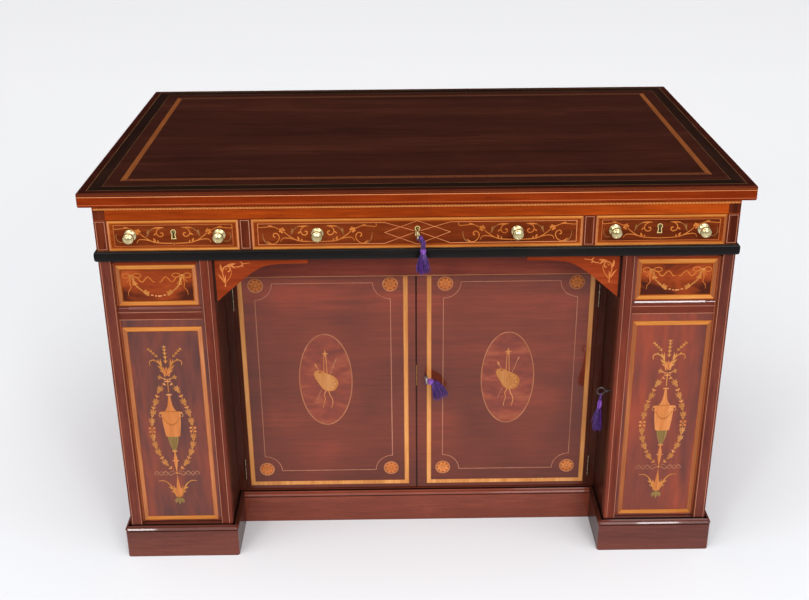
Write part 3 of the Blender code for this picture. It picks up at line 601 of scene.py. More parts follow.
# knuckled brass hinges that hide under the front of the top
for side, word in ((-1, "left"), (1, "right")):
    bm = bmesh.new()
    profile = [(0, -0.0315)]
    for k in range(5):
        z0, z1 = -0.0315 + 0.0126 * k, -0.0315 + 0.0126 * (k + 1)
        profile += [(0.0021, z0 + 0.0001), (0.0024, z0 + 0.0004), (0.0024, z1 - 0.0004), (0.0021, z1 - 0.0001)]
    profile.append((0, 0.0315))
    lathe(bm, profile, Matrix.Translation((side * 0.42, -0.3587, 0.7622)) @ Matrix.Rotation(math.radians(90), 4, "Y"), 24)
    block(bm, (side * 0.42 - 0.030, -0.3568, 0.7582), (side * 0.42 + 0.030, -0.3557, 0.7640))
    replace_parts(piece(word + "_leaf_hinge_barrel", bm, "hinge_brown", "carcass", 40), word + "_leaf_hinge")

bm = bmesh.new()
x, y0, y1 = 0.5893, -0.3558, 0.3688
mitred(bm, [(-x, y0), (x, y0), (x, y1), (-x, y1)],
       [(0, 0.6738), (0, 0.6547), (0.0026, 0.6545), (0.0042, 0.6560), (0.0050, 0.6585), (0.0052, 0.6620), (0.0052, 0.6690),
        (0.0050, 0.6708), (0.0044, 0.6724), (0.0034, 0.6734), (0.0022, 0.6738)], True)
moulding = piece("moulding_run", bm, "moulding", "carcass", 35)
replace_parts(moulding, "ebonised_moulding")


# ---------------------------------------------------------------- drawers
def scroll(pen, outer):
    """Half of the running scroll, in millimetres from the foot of its stem."""
    flow(pen, "scroll", [(0, 0), (18, 0.6), (37, 3), (53, 12.6), (61, 20)], 2.0, 1.5)
    for a, r in ((0, 6.9), (62, 6.6), (-58, 6.6), (122, 5.6), (-118, 5.6)):
        d = math.radians(a + 40)
        pen.leaf("scroll", mm([(64, 22.4)])[0], mm([(64 + r * math.cos(d), 22.4 + r * math.sin(d))])[0], 4.3 * MM, layer=OVER, belly=0.6)
    pen.disc("bronze", mm([(64, 22.4)])[0], 1.3 * MM, layer=CROWN, n=12)
    flow(pen, "scroll", [(35, 2.6), (49, 7), (61, 8), (66, 5), (67.7, 0.7)], 2.0, 1.0)
    pen.leaf("scroll", mm([(34, 2.4)])[0], mm([(37, 10.5)])[0], 3.6 * MM, 1.0 * MM, MOTIF)
    pen.leaf("scroll", mm([(29, 2.0)])[0], mm([(29.5, 6.5)])[0], 2.8 * MM, 0.6 * MM, MOTIF)
    # C-scroll that curls in beside the keyhole, and its stem
    flow(pen, "volute", [(49, 13.5), (45.5, 19), (42.5, 24.5), (36, 29.2), (28, 31), (17, 31)], 1.6, 1.3)
    pen.leaf("volute", mm([(47, 17)])[0], mm([(46, 27)])[0], 4.0 * MM, 1.2 * MM, OVER)
    pen.leaf("scroll", mm([(37, 29.6)])[0], mm([(15, 30.6)])[0], 2.8 * MM, -1.4 * MM, OVER)
    flow(pen, "scroll", [(21, 30.4), (27.4, 27.6), (30.4, 21.5), (28.4, 15.6), (23, 13.2), (18.8, 16.0), (19.4, 20.2), (23, 20.6)], 1.5, 2.3)
    pen.leaf("scroll", mm([(30.2, 20)])[0], mm([(36, 15.4)])[0], 2.6 * MM, 1.2 * MM, OVER)
    flow(pen, "scroll", [(70, 25), (77, 28.6), (84, 30.2), (97.5, 29.2), (105, 28.6), (108.2, 30.5), (107.2, 34.4)], 1.6, 1.2)
    pen.leaf("scroll", mm([(80, 29.4)])[0], mm([(90, 32.4)])[0], 3.0 * MM, 1.0 * MM, MOTIF)
    if outer:
        flow(pen, "scroll", [(77.5, 9.4), (80.6, 11.6), (79.4, 16.2), (74.6, 17.0), (70.6, 12.6), (70.4, 6.5), (73.6, 0.9), (79.5, -3.2), (86, -3.7)], 2.1, 1.5)
        flow(pen, "volute", [(86, -3.7), (92, -2.4), (97, 2.6), (99.4, 9.4), (100, 17)], 1.7, 1.2)
        pen.leaf("scroll", mm([(84, -3.4)])[0], mm([(93, 2.2)])[0], 2.4 * MM, -1.4 * MM, OVER)
    else:
        flow(pen, "volute", [(92, 4), (98, 3), (103, 7), (105, 13), (103, 20)], 1.6, 1.0)


def escutcheon(pen):
    """Brass keyhole lining: round above, flaring below, round a dark opening."""
    line = []
    for k in range(21):
        a = math.radians(-48 + 276 * k / 20)
        line.append((4.2 * math.cos(a), 4.2 + 4.2 * math.sin(a)))
    line += [(-2.6, -1.2), (-3.1, -5.0), (-3.8, -8.8), (3.8, -8.8), (3.1, -5.0), (2.6, -1.2)]
    pts = mm(line)
    pen.poly("keyhole", pts, 0.0003)
    pen.stroke("cream", pts, 1.5 * MM, 0.0011, True)
    pen.disc("brass", (0, 4.2 * MM), 1.2 * MM, layer=0.0006)


def drawer_face(body, node, knobs, hole):
    lo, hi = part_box(node)
    c = (lo + hi) / 2
    pen = Pen(body, (c.x, FRONT, DRAWER_MID), (1, 0, 0), (0, 0, 1))
    w, h = (hi.x - lo.x) / 2, (hi.z - lo.z) / 2
    e = 0.0006
    pen.banding("amber", "amber", -w + e, -h + e, w - e, h - e, 0.0060, SHEET, 0.0048)
    pen.banding("satin_x", "satin_z", -w + 0.0010, -h + 0.0010, w - 0.0010, h - 0.0010, 0.0033)
    iw, ih = w - 0.012, h - 0.0093
    pen.rect("drawer_field", -iw, -ih, iw, ih, SHEET)
    return pen, iw, ih


for body, node, hole_x, hole_z in (("left_drawer", "left_drawer_front", -0.4455, 0.7065), ("right_drawer", "right_drawer_front", 0.444, 0.7074)):
    pen, iw, ih = drawer_face(body, node, 2, hole_x)
    pen.frame_line("drawer_line", -iw, -ih, iw, ih, 0.0010)
    stem = pen.moved(0, 0.6883 - DRAWER_MID)
    for half in both(stem):
        scroll(half, False)
    stem.poly("bronze", mm([(0, -3.2), (4.2, 0.2), (0, 2.2), (-4.2, 0.2)]), OVER)
    face = Pen(body, (0, FRONT, 0), (1, 0, 0), (0, 0, 1))
    escutcheon(face.moved(hole_x, hole_z))

pen, iw, ih = drawer_face("centre_drawer", "centre_drawer_front", 2, 0.0)
for side in both(pen):
    # the line frame opens in the middle and runs in towards the keyhole
    side.stroke("edge_line", [(0.0062, 0.0040), (0.060, ih), (iw, ih), (iw, -ih), (0.060, -ih), (0.0062, 0.0004)], 0.0010)
    side.stroke("edge_line", [(0.0, 0.0232), (0.060, 0.0010), (0.0, -0.0225)], 0.0010, LINE + 0.00003)
    stem = side.moved(0.183, 0.6883 - DRAWER_MID)
    for half in both(stem):
        scroll(half, True)
    stem.poly("bronze", mm([(0, -3.2), (4.2, 0.2), (0, 2.2), (-4.2, 0.2)]), OVER)
escutcheon(Pen("centre_drawer", (0, FRONT, 0.708), (1, 0, 0), (0, 0, 1)))

# turned brass knobs
KNOB = [(0, 0.0), (11.6, 0.0), (11.8, 0.5), (11.6, 1.3), (10.6, 1.8), (9.4, 1.9), (8.6, 2.8), (6.4, 3.6), (4.9, 5.2), (4.2, 8.0), (4.2, 10.6),
        (5.0, 12.8), (7.4, 14.6), (9.6, 16.4), (10.7, 18.6), (10.8, 20.2), (10.2, 22.0), (8.9, 23.3), (7.7, 23.7), (7.2, 23.4), (6.5, 23.8), (4.6, 25.2), (2.4, 25.8), (0, 25.9)]
for name in sorted(n for n in NODES if "_knob_" in n):
    lo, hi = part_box(name)
    c = (lo + hi) / 2
    place = Matrix.Translation((c.x, hi.y, c.z)) @ Matrix.Rotation(math.radians(90), 4, "X")
    bm = bmesh.new()
    lathe(bm, mm([(r * 0.96, d * 0.90) for r, d in KNOB]), place, 48)
    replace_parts(piece(name.replace("knob", "pull"), bm, "brass", name.split("_knob_")[0], 50), name)


# ---------------------------------------------------------------- pedestals
def husks(pen, kind, points, count, width, length, layer=MOTIF):
    """A chain of small husks along a flowing line."""
    line = smooth(mm(points), 12)
    total = [0.0]
    for a, b in zip(line, line[1:]):
        total.append(total[-1] + (b - a).length)
    for k in range(count):
        want = total[-1] * (k + 0.5) / count
        i = max(j for j in range(len(total)) if total[j] <= want)
        i = min(i, len(line) - 2)
        d = (line[i + 1] - line[i]).normalized()
        p = line[i] + d * (want - total[i])
        pen.leaf(kind, p - d * length * MM / 2, p + d * length * MM / 2, width * MM, layer=layer)


def bow_swag(pen):
    """Half of the ribbon bow and husk swag on an upper panel; v is height above the panel's middle, in millimetres."""
    z = lambda h: (h - 0.60125) * 1000
    at = lambda u, h: mm([(u, z(h))])[0]
    leaf = lambda kind, u0, h0, u1, h1, w, bend=0.0: pen.leaf(kind, at(u0, h0), at(u1, h1), w * MM, bend * MM, OVER)
    pen.ring("scroll", at(-57.2, 0.621), 6.8 * MM, 4.6 * MM, 1.6 * MM, MOTIF, 24)
    pen.ring("scroll", at(-36.5, 0.6215), 7.6 * MM, 4.2 * MM, 1.6 * MM, MOTIF, 24)
    leaf("gold", -53, 0.621, -42, 0.621, 4.6)
    leaf("scroll", -46, 0.6225, -40, 0.6172, 3.0)
    flow(pen, "scroll", [(-43, z(0.6195)), (-36, z(0.6165)), (-31, z(0.6095)), (-26, z(0.6090)), (-21.5, z(0.6145)), (-16.5, z(0.6185)), (-11.5, z(0.6140)), (-7.5, z(0.6085)), (-3.6, z(0.6085))], 2.3, 1.4)
    flow(pen, "scroll", [(-49, z(0.619)), (-53, z(0.6125)), (-57, z(0.607))], 1.8, 0.9)
    flow(pen, "scroll", [(-48.5, z(0.618)), (-51, z(0.606)), (-49.5, z(0.597)), (-54.5, z(0.590)), (-56, z(0.5815))], 2.0, 1.0)
    # leaves that hang from the bow, then husks, a larger spray and beads
    leaf("gold", -46.5, 0.6185, -43, 0.6090, 4.2, 0.8)
    leaf("gold", -44.5, 0.6115, -39.5, 0.6005, 6.2, -0.8)
    leaf("scroll", -42.5, 0.6085, -46.5, 0.6010, 3.4)
    leaf("scroll", -41.5, 0.6070, -36.0, 0.6035, 3.2)
    for u, h in ((-37.6, 0.5985), (-33.8, 0.5945), (-29.8, 0.5910)):
        leaf("gold", u - 2.2, h + 0.0022, u + 2.2, h - 0.0022, 3.2)
    leaf("gold", -28.5, 0.5890, -16.0, 0.5822, 5.8)
    leaf("gold", -25.5, 0.5905, -20.5, 0.5908, 3.4)
    leaf("gold", -23.5, 0.5842, -17.5, 0.5800, 3.2)
    leaf("scroll", -21.0, 0.5882, -15.2, 0.5868, 3.0)
    for u, h, ru, rv in ((-11.6, 0.5812, 2.6, 1.5), (-4.8, 0.5796, 2.2, 1.4)):
        pen.disc("bud", at(u, h), ru * MM, rv * MM, MOTIF, 14)


def garden(pen):
    """Half of the urn, acanthus and wreath of a tall panel; u in millimetres from its middle line, v in millimetres of height."""
    dot = lambda u, v, kind, r, n=14: pen.disc(kind, mm([(u, v)])[0], r * MM, layer=CROWN, n=n)
    leaf = lambda kind, a, b, w, bend=0.0, layer=MOTIF: pen.leaf(kind, mm([a])[0], mm([b])[0], w * MM, bend * MM, layer)

    def spray(kind, u, v, angle, parts, layer=OVER):
        for turn, back, size, w in parts:
            d = math.radians(angle + turn)
            leaf(kind, (u - back * math.cos(d), v - back * math.sin(d)), (u + size * math.cos(d), v + size * math.sin(d)), w, 0, layer)

    # slanting chains of husks beside the finial
    for a, b in (((14, 450.5), (19.5, 456)), ((18.6, 455.6), (24.6, 461.6)), ((23.6, 461), (28.6, 466)), ((27.8, 465.2), (32.6, 470))):
        leaf("gold", a, b, 2.4)
        c = ((a[0] + b[0]) / 2, (a[1] + b[1]) / 2)
        leaf("gold", c, (c[0] - 2.4, c[1] + 4.0), 1.4)
        leaf("gold", c, (c[0] + 4.0, c[1] - 1.2), 1.4)
    # acanthus that opens like a lyre
    flow(pen, "gold", [(3.6, 409), (7, 423), (10.5, 434), (16.6, 441.5), (24.5, 444.4), (29.6, 442.4), (31.2, 438), (29.8, 433)], 2.8, 1.3)
    leaf("gold", (8.2, 426), (9.6, 448), 3.6, -1.2)
    leaf("gold", (10.5, 433), (14.6, 447), 2.6, -0.8)
    leaf("gold", (9, 424), (16.5, 433), 3.0, 1.4)
    leaf("gold", (6.6, 417), (13, 423.5), 2.6, 1.0)
    leaf("urn", (4.6, 410.5), (5.4, 430), 3.8, 0.8, OVER)
    leaf("gold", (19, 443), (24, 447.5), 2.2)
    # small leaf pairs over the stem
    spray("leafgold", 12.0, 406.5, 16, ((0, 5, 7.4, 4.2), (46, 2, 7.0, 3.4), (-46, 2, 7.0, 3.4)))
    leaf("bud", (1.5, 402), (9, 404.6), 2.6)
    leaf("bud", (1, 396.5), (7.5, 399.5), 2.2)
    spray("bud", 7.0, 391.5, 30, ((0, 4, 4.0, 2.8), (60, 1, 4.4, 2.2)))
    # wreath of leaf sprays and buds with a four-petalled flower
    flow(pen, "bronze", [(8, 392), (18.5, 379), (27, 358), (34, 338), (38.5, 318), (40.5, 300), (40.5, 280), (37, 256), (30, 233), (21, 213), (6, 196)], 1.0)
    for u, v, a in ((18, 378.5, 122), (28.5, 350.0, 112), (35.5, 326.0, 104), (39.0, 306.5, 94), (40.0, 271.0, 86), (37.0, 253.0, 76), (31.5, 236.0, 66), (20, 212.0, 54)):
        spray("leafgold", u, v, a, ((0, 8.5, 12.2, 5.2), (30, 6.0, 11.4, 4.4), (-30, 6.0, 11.4, 4.4), (66, 1, 7.4, 2.8), (-66, 1, 7.4, 2.8)))
        d = math.radians(a)
        pen.stroke("bronze", mm([(u - 5 * math.cos(d), v - 5 * math.sin(d)), (u + 7.5 * math.cos(d), v + 7.5 * math.sin(d))]), 0.5 * MM, CROWN)
    for u, v, a in ((24.0, 364.0, 112), (33.0, 338.5, 106), (26.0, 224.0, 58), (10.5, 200.5, 40)):
        spray("bud", u, v, a, ((54, 0.5, 6.0, 2.8), (-54, 0.5, 6.0, 2.8), (0, 2, 4.0, 2.4)), CROWN)
    for k in range(4):
        d = math.radians(45 + 90 * k)
        pen.disc("urn", mm([(40.4 + 5.8 * math.cos(d), 289.6 + 5.8 * math.sin(d))])[0], 2.7 * MM, layer=OVER, n=16)
    dot(40.4, 289.6, "leafgold", 1.7)
    # ring handle of the urn
    dot(20.4, 328.2, "bud", 2.2)
    pen.ring("bud", mm([(20.9, 322.8)])[0], 2.7 * MM, 3.6 * MM, 1.0 * MM, MOTIF, 18)
    # two waves of ribbon that cross below the urn
    flow(pen, "rim", [(3, 189), (8, 187.5), (13, 184), (18, 188.5), (23, 193.4), (28, 187.8), (32, 184), (37, 190.0), (41, 193.6), (46, 186)], 1.9, 1.3)
    flow(pen, "rim", [(4, 192.5), (8, 194), (13, 192.6), (18, 187.8), (23, 184), (28, 189), (32, 193), (37, 187.6), (41, 184.6), (44, 188)], 0.9, 0.7)
    # curling leaves at the foot
    flow(pen, "gold", [(4.5, 133), (9.5, 146), (15.0, 159), (22.5, 168), (30, 171.2), (38.5, 170.4)], 3.4, 1.0)
    leaf("gold", (5.5, 136), (9.0, 160), 3.4, -1.4)
    leaf("gold", (12, 151), (20.0, 156), 3.0, 1.0)
    leaf("gold", (8.5, 142), (15.5, 146), 2.6, 0.9)
    leaf("urn", (3.0, 134), (6.6, 155), 4.2, -0.6, OVER)
    spray("green", 5.4, 125.5, -72, ((0, 5, 9.0, 6.2), (44, 3, 6.4, 4.4)))


def urn(pen):
    """The parts of the tall panel's marquetry that stand on its middle line."""
    p = lambda kind, pts, layer=MOTIF: pen.poly(kind, mm([(0.84 * u, v) for u, v in pts]), layer)
    sym = lambda half: half + [(-u, v) for u, v in half[::-1]]
    leaf = lambda kind, a, b, w, layer=MOTIF: pen.leaf(kind, mm([a])[0], mm([b])[0], w * MM, 0.0, layer)
    # upright chain of husks
    for v0, v1, w in ((437, 447, 4.4), (446, 455.5, 4.2), (454.5, 463, 3.8), (462, 469, 3.2), (468, 477, 2.8)):
        leaf("gold", (0, v0), (0, v1), w * 0.75)
        leaf("gold", (0, v0 + 2), (4.2, v0 + 6.8), 1.6)
        leaf("gold", (0, v0 + 2), (-4.2, v0 + 6.8), 1.6)
    # bud in the lyre
    leaf("urn", (0, 409.5), (0, 430), 6.4, OVER)
    leaf("bronze", (0, 413), (0, 425), 1.8, CROWN)
    p("gold", sym([(1.0, 374), (1.2, 404)]), MOTIF)
    pen.disc("bud", mm([(0, 398.6)])[0], 2.4 * MM, layer=OVER, n=16)
    # lid, neck and body of the urn
    pen.disc("bud", mm([(0, 368.6)])[0], 5.8 * MM, 1.9 * MM, OVER, 24)
    p("urn", sym([(13.6, 331.6), (9.8, 336), (6.2, 343), (4.0, 353), (2.6, 366)]), MOTIF)
    p("urn", sym([(16.5, 274.6), (18.6, 287), (20.6, 300), (21.5, 311), (21.6, 322), (21.8, 330.6)]), MOTIF)
    p("bronze", sym([(22.4, 330.4), (22.4, 331.4)]), CROWN)
    p("gold", sym([(21.9, 325.2), (21.9, 325.9)]), CROWN)
    for k in range(13):
        t = -1 + 2 * k / 12
        pen.disc("bronze", mm([(15.0 * t, 300.4 + 15.0 * t * t)])[0], 1.4 * MM, layer=CROWN, n=10)
        if abs(t) < 0.75:
            pen.disc("gold", mm([(14.4 * t, 309.6 + 9.0 * t * t)])[0], 0.9 * MM, layer=CROWN, n=10)
    # fluted bowl, foot and drop
    p("green", sym([(3.4, 242), (6.0, 248), (9.4, 257), (11.6, 266), (12.4, 274.4)]), MOTIF)
    for u in (-8.0, -4.0, 0.0, 4.0, 8.0):
        p("keyhole", [(u * 0.42 - 0.25, 246), (u * 0.42 + 0.25, 246), (u + 0.35, 273), (u - 0.35, 273)], OVER)
    p("urn", sym([(12.8, 273.6), (12.8, 275.2)]), OVER)
    pen.disc("bud", mm([(0, 240.5)])[0], 5.6 * MM, 1.9 * MM, OVER, 22)
    p("urn", sym([(2.6, 218.5), (4.4, 222), (3.4, 228), (1.8, 234), (2.2, 242)]), MOTIF)
    pen.disc("bud", mm([(0, 218)])[0], 7.2 * MM, 1.6 * MM, OVER, 24)
    p("urn", [(-4.2, 216.5), (4.2, 216.5), (3.0, 206), (0.5, 192), (-0.5, 192), (-3.0, 206)], MOTIF)
    pen.disc("gold", mm([(0, 189)])[0], 2.4 * MM, layer=OVER, n=16)
    # pointed bud between the curling leaves
    p("urn", sym([(4.6, 133), (6.4, 141), (5.4, 152), (3.2, 164), (1.2, 176), (0.2, 184)]), OVER)
    p("bronze", [(-0.5, 136), (0.5, 136), (0.3, 170), (-0.3, 170)], CROWN)
    pen.disc("gold", mm([(0, 133.5)])[0], 4.0 * MM, 1.9 * MM, CROWN, 18)
    leaf("green", (0, 132), (0, 113.5), 6.0, OVER)


def astragal(body, x0, x1, z0, z1, y, proud, sign):
    """A low bead with a sloping upper face, thinner towards its ends and most of all at the hanging edge."""
    bm = bmesh.new()
    wide = x1 - x0
    stations = [(0.0, 0.6), (0.003, 1.0), (wide - 0.0208, 1.0), (wide - 0.0188, 0.38), (wide - 0.001, 0.38), (wide, 0.3)]
    section = [(z1, 0.0), (z0 + 0.0062, 0.10), (z0 + 0.0056, 0.22), (z0 + 0.0032, 0.95), (z0 + 0.0024, 1.0), (z0 + 0.0012, 0.85), (z0 + 0.0004, 0.45), (z0, 0.0)]
    loops = []
    for step, s in stations:
        x = x0 + step if sign > 0 else x1 - step
        mid = (z0 + z1) / 2
        loop = [Vector((x, y + 0.0004, mid + (z - mid) * s)) for z in (z0, z1)]
        loop += [Vector((x, y - proud * s * out - 0.00002, mid + (z - mid) * s)) for z, out in section]
        loops.append(loop)
    rings(bm, loops)
    return piece(body + "_astragal", bm, "bead", body)


for body, sign in (("left_pedestal_door", -1.0), ("right_pedestal_door", 1.0)):
    pen = Pen(body, (0.4865 * sign, PANEL_FACE, 0), (1, 0, 0), (0, 0, 1))
    # upper panel
    pen.rect("upper", -0.075, 0.561, 0.0745, 0.6415, SHEET)
    pen.banding("amber", "amber", -0.0757, 0.5597, 0.0747, 0.6428, 0.0105, SHEET + 0.00002, 0.0092)
    pen.banding("satin_x", "satin_z", -0.0744, 0.561, 0.0734, 0.6415, 0.0070, BAND, 0.0058)
    pen.frame_line("ebony", -0.0660, 0.5705, 0.0650, 0.6320, 0.0005)
    for half in both(pen.moved(0, 0.60125)):
        bow_swag(half)
    pen.disc("bud", (0.0010, 0.5792), 0.0026, 0.0017, OVER, 14)
    pen.rect("strip_top", -0.0760, 0.6430, 0.0760, 0.6471, SHEET)
    # strips between the panels
    pen.rect("strip", -0.0790, 0.5475, 0.0790, 0.5605, SHEET)
    pen.rect("rose", -0.0790, 0.5450, 0.0790, 0.5460, LINE)
    pen.rect("strip", -0.0790, 0.5315, 0.0790, 0.5450, SHEET)
    pen.rect("rose", -0.0790, 0.5301, 0.0790, 0.5311, LINE)
    astragal(body, 0.4865 * sign - 0.0790, 0.4865 * sign + 0.0790, 0.5510, 0.5578, PANEL_FACE, 0.0016, sign)
    # tall panel
    pen.banding("amber", "amber", -0.0756, 0.0768, 0.0756, 0.5152, 0.0094, SHEET, 0.0088)
    pen.banding("satin_x", "satin_z", -0.0748, 0.0775, 0.0748, 0.5145, 0.0080, BAND, 0.0070)
    for half in both(pen):
        garden(half)
    urn(pen)
    # pale strip on the door's outer margin, painted light against the shade in the recess
    edge = pen.moved(0, 0, sign)
    edge.rect("lip", 0.0763, 0.0742, 0.0796, 0.6468, SHEET)

pen = Pen("carcass", (0, FRONT, 0), (1, 0, 0), (0, 0, 1))
for side in both(pen):
    side.rect("stile_in", 0.3816, 0.0726, 0.4026, 0.6538, SHEET)
    # pairs of lines down the stiles
    for x, w in ((0.5855, 0.0009), (0.5677, 0.0009), (0.4022, 0.0008), (0.3876, 0.0008)):
        side.rect("rose", x - w / 2, 0.0725, x + w / 2, 0.6535, LINE)
# lipping on the edges that the pedestal doors close between, made pale as painted light in the recess where shade falls
for x, way in ((0.567, -1), (0.403, 1), (-0.567, 1), (-0.403, -1)):
    edge = Pen("carcass", (x, 0, 0), (0, way, 0), (0, 0, 1))
    edge.rect("lip", min(way * -0.3553, way * -0.3468), 0.0738, max(way * -0.3553, way * -0.3468), 0.6472, SHEET)


# ---------------------------------------------------------------- spandrels and kneehole
pen = Pen("carcass", (0, PANEL_FACE, 0), (1, 0, 0), (0, 0, 1))
for side in both(pen):
    # dark strip of painted shade down the outer edge of the spandrel
    side.poly("seam", [(0.3768, 0.5672), (0.3805, 0.5640), (0.3805, 0.6540), (0.3768, 0.6540)], SHEET)
    g = side.moved(0.3807, 0.6000, -1.0)      # u runs inwards from the outer edge
    leaf = lambda kind, a, b, w, bend=0.0: g.leaf(kind, mm([a])[0], mm([b])[0], w * MM, bend * MM, OVER)
    g.disc("orange", mm([(21.1, -1.7)])[0], 1.5 * MM, layer=OVER, n=14)
    flow(g, "orange", [(21.1, -1.0), (21.1, 4.0), (20.2, 9.0), (18.0, 20.0), (17.8, 27.0), (19.6, 33.4), (23.9, 37.8), (29.0, 37.9), (32.3, 33.6), (30.8, 28.2), (27.0, 27.4)], 1.5, 2.6)
    leaf("orange", (19.4, 5.0), (7.3, 23.5), 2.8, -2.2)
    leaf("orange", (21.4, 6.0), (22.6, 20.0), 2.2, 0.4)
    flow(g, "scroll", [(22.4, 5.0), (27.0, 10.6), (31.2, 17.0), (34.4, 26.0), (34.6, 30.5)], 1.8, 1.0)
    leaf("orange", (17.4, 26.0), (14.6, 43.0), 4.4, 1.6)
    leaf("scroll", (22.5, 30.0), (27.6, 35.0), 2.6, 1.0)
    leaf("orange", (24.0, 37.0), (44.0, 43.0), 4.6, 2.4)
    leaf("orange", (30.0, 39.5), (42.2, 33.2), 3.6, 3.2)
    flow(g, "orange", [(42.5, 37.0), (47.0, 36.6), (52.0, 38.6), (57.3, 42.5), (63.0, 43.4), (70.3, 44.4)], 2.0, 1.1)
    leaf("orange", (57.0, 42.0), (51.6, 47.6), 2.4)
    leaf("orange", (52.0, 38.6), (58.5, 37.6), 1.9)


def patera(pen, c):
    """Round eight-petalled flower in a broad ring."""
    r = 0.0158
    pen.disc("patera_base", c, r - 0.0004, layer=MOTIF, n=36)
    for k in range(8):
        d = math.radians(22.5 + 45 * k)
        pen.leaf("petal", (c[0] + 0.0012 * math.cos(d), c[1] + 0.0012 * math.sin(d)), (c[0] + 0.0128 * math.cos(d), c[1] + 0.0128 * math.sin(d)), 0.0062, layer=OVER, belly=0.66)
    pen.ring("patera_rim", c, r - 0.0016, r - 0.0016, 0.0032, CROWN, 40)
    pen.disc("bud", c, 0.0024, layer=CROWN, n=16)


def trophy(pen):
    """Palette with brushes, crossed rods and ribbon tails, in millimetres from the oval's middle."""
    palette = smooth(mm([(-23.4, 10.7), (-23.0, 16), (-19.4, 19.8), (-14.5, 20.0), (-9.5, 19.4), (-5.0, 18.2), (-1.6, 15.0), (3.4, 12.8), (10.2, 9.9), (17, 5.9),
                         (22.7, -0.5), (25.0, -9.2), (20.5, -21.0), (13.6, -26.0), (3.4, -26.6), (-5.7, -22.4), (-11.4, -14.2), (-17, -4.2), (-21.1, 3.2)]), 4, True)
    pen.poly("leafgold", palette, MOTIF)
    pen.stroke("scroll", palette, 0.7 * MM, OVER, True)
    pen.disc("patera_base", mm([(-11.6, 16.4)])[0], 3.0 * MM, 1.7 * MM, OVER, 16)
    for u, v, r in ((9, 3.4, 2.0), (15.4, -2.4, 2.1), (18.6, -10.4, 2.1), (14.4, -18.4, 2.0), (7.4, -22.4, 1.9)):
        pen.disc("bud", mm([(u, v)])[0], r * MM, layer=OVER, n=12)
    for pts in ([(-4.6, -20), (-3.5, 12), (-2.2, 55)], [(4.4, 8), (3.1, 12), (1.8, 56)]):
        pen.stroke("bud", mm(pts), 1.4 * MM, CROWN)
    pen.poly("bud", mm([(0, 68), (2.0, 61), (7.2, 59.6), (2.4, 57.2), (1.0, 53), (-1.0, 53), (-2.4, 57.2), (-7.2, 58.6), (-2.0, 61)]), CROWN)
    for a, b, w in (((9, 11), (20.5, 42), 1.3), ((-13, 20), (-19.0, 31), 1.6), ((-10, -24), (-20, -48), 0.9)):
        pen.stroke("rim", mm([a, b]), w * MM, MOTIF)
    pen.leaf("rim", mm([(20, 40)])[0], mm([(23.0, 47.5)])[0], 3.0 * MM, layer=OVER)
    pen.leaf("bud", mm([(-17.4, 28)])[0], mm([(-21.4, 37.0)])[0], 3.6 * MM, layer=OVER)
    flow(pen, "bud", [(1, -25), (-3.6, -33), (-4.4, -38), (-2.4, -46), (-5, -54), (-7.2, -67)], 2.0, 1.0)
    flow(pen, "bud", [(4.4, -25), (8, -38), (12.4, -47), (12.4, -56), (9.6, -67.2)], 2.0, 1.0)


for body, sign, inner, near, line_in in (("left_door", -1.0, 0.0176, 0.0521, 0.0520), ("right_door", 1.0, 0.0212, 0.0575, 0.0540)):
    pen = Pen(body, (0, DOOR_FACE, 0), (1, 0, 0), (0, 0, 1), sign)
    pen.banding("amber", "amber", inner - 0.0006, 0.0834, 0.3556, 0.5758, 0.0096, SHEET)
    # satinwood on the kneehole doors is paler than elsewhere: painted light against the shade of the kneehole
    pen.banding("satin_door", "satin_door", inner, 0.0840, 0.3550, 0.5752, 0.0084)
    # dark strip on the door's hanging edge: painted shade of the gap by the hinge
    pen.rect("door_edge", 0.3560, 0.0752, 0.3642, 0.5826, SHEET)
    # line frame with hollow corners round the paterae
    a, b, low, high, hollow = line_in, 0.3222, 0.1193, 0.5531, 0.035
    line = []
    for cx, cz, start in ((b, low, 180), (b, high, 270), (a, high, 0), (a, low, 90)):
        for k in range(13):
            d = math.radians(start - 90 * k / 12)
            line.append((cx + hollow * math.cos(d), cz + hollow * math.sin(d)))
    pen.stroke("rose", line, 0.0013, LINE, True)
    for c in ((near, 0.5495), (0.3195, 0.5495), (0.0550, 0.1235), (0.3195, 0.1235)):
        patera(pen, c)
    oval = Pen(body, (0.187 * sign, DOOR_FACE, 0.3365), (1, 0, 0), (0, 0, 1))
    oval.disc("oval", (0, 0), 0.0547, 0.1052, SHEET, 72)
    oval.ring("oval_line", (0, 0), 0.0540, 0.1045, 0.0021, LINE, 72)
    trophy(oval.moved(0, 0.0015))

# meeting edge of the left door: a dark strip of painted shade beside the gap, and its brass fore-edge
pen = Pen("left_door", (0, DOOR_FACE, 0), (1, 0, 0), (0, 0, 1))
pen.rect("seam", -0.0024, 0.0750, 0.0006, 0.5828, BAND)
pen.rect("brass_old", -0.0012, 0.3225, 0.0005, 0.3690, 0.0003)
# hanging stiles beside the doors, veneered dark as painted shade
pen = Pen("carcass", (0, DOOR_FACE, 0), (1, 0, 0), (0, 0, 1))
for side in both(pen):
    side.rect("inner", 0.3655, 0.0726, 0.3804, 0.5832, SHEET)
# pale line along the foot of the rail over the doors: a painted highlight on its lower edge
pen = Pen("carcass", (0, -0.2735, 0), (1, 0, 0), (0, 0, 1))
pen.rect("rim", -0.3800, 0.5842, 0.3800, 0.5851, LINE)


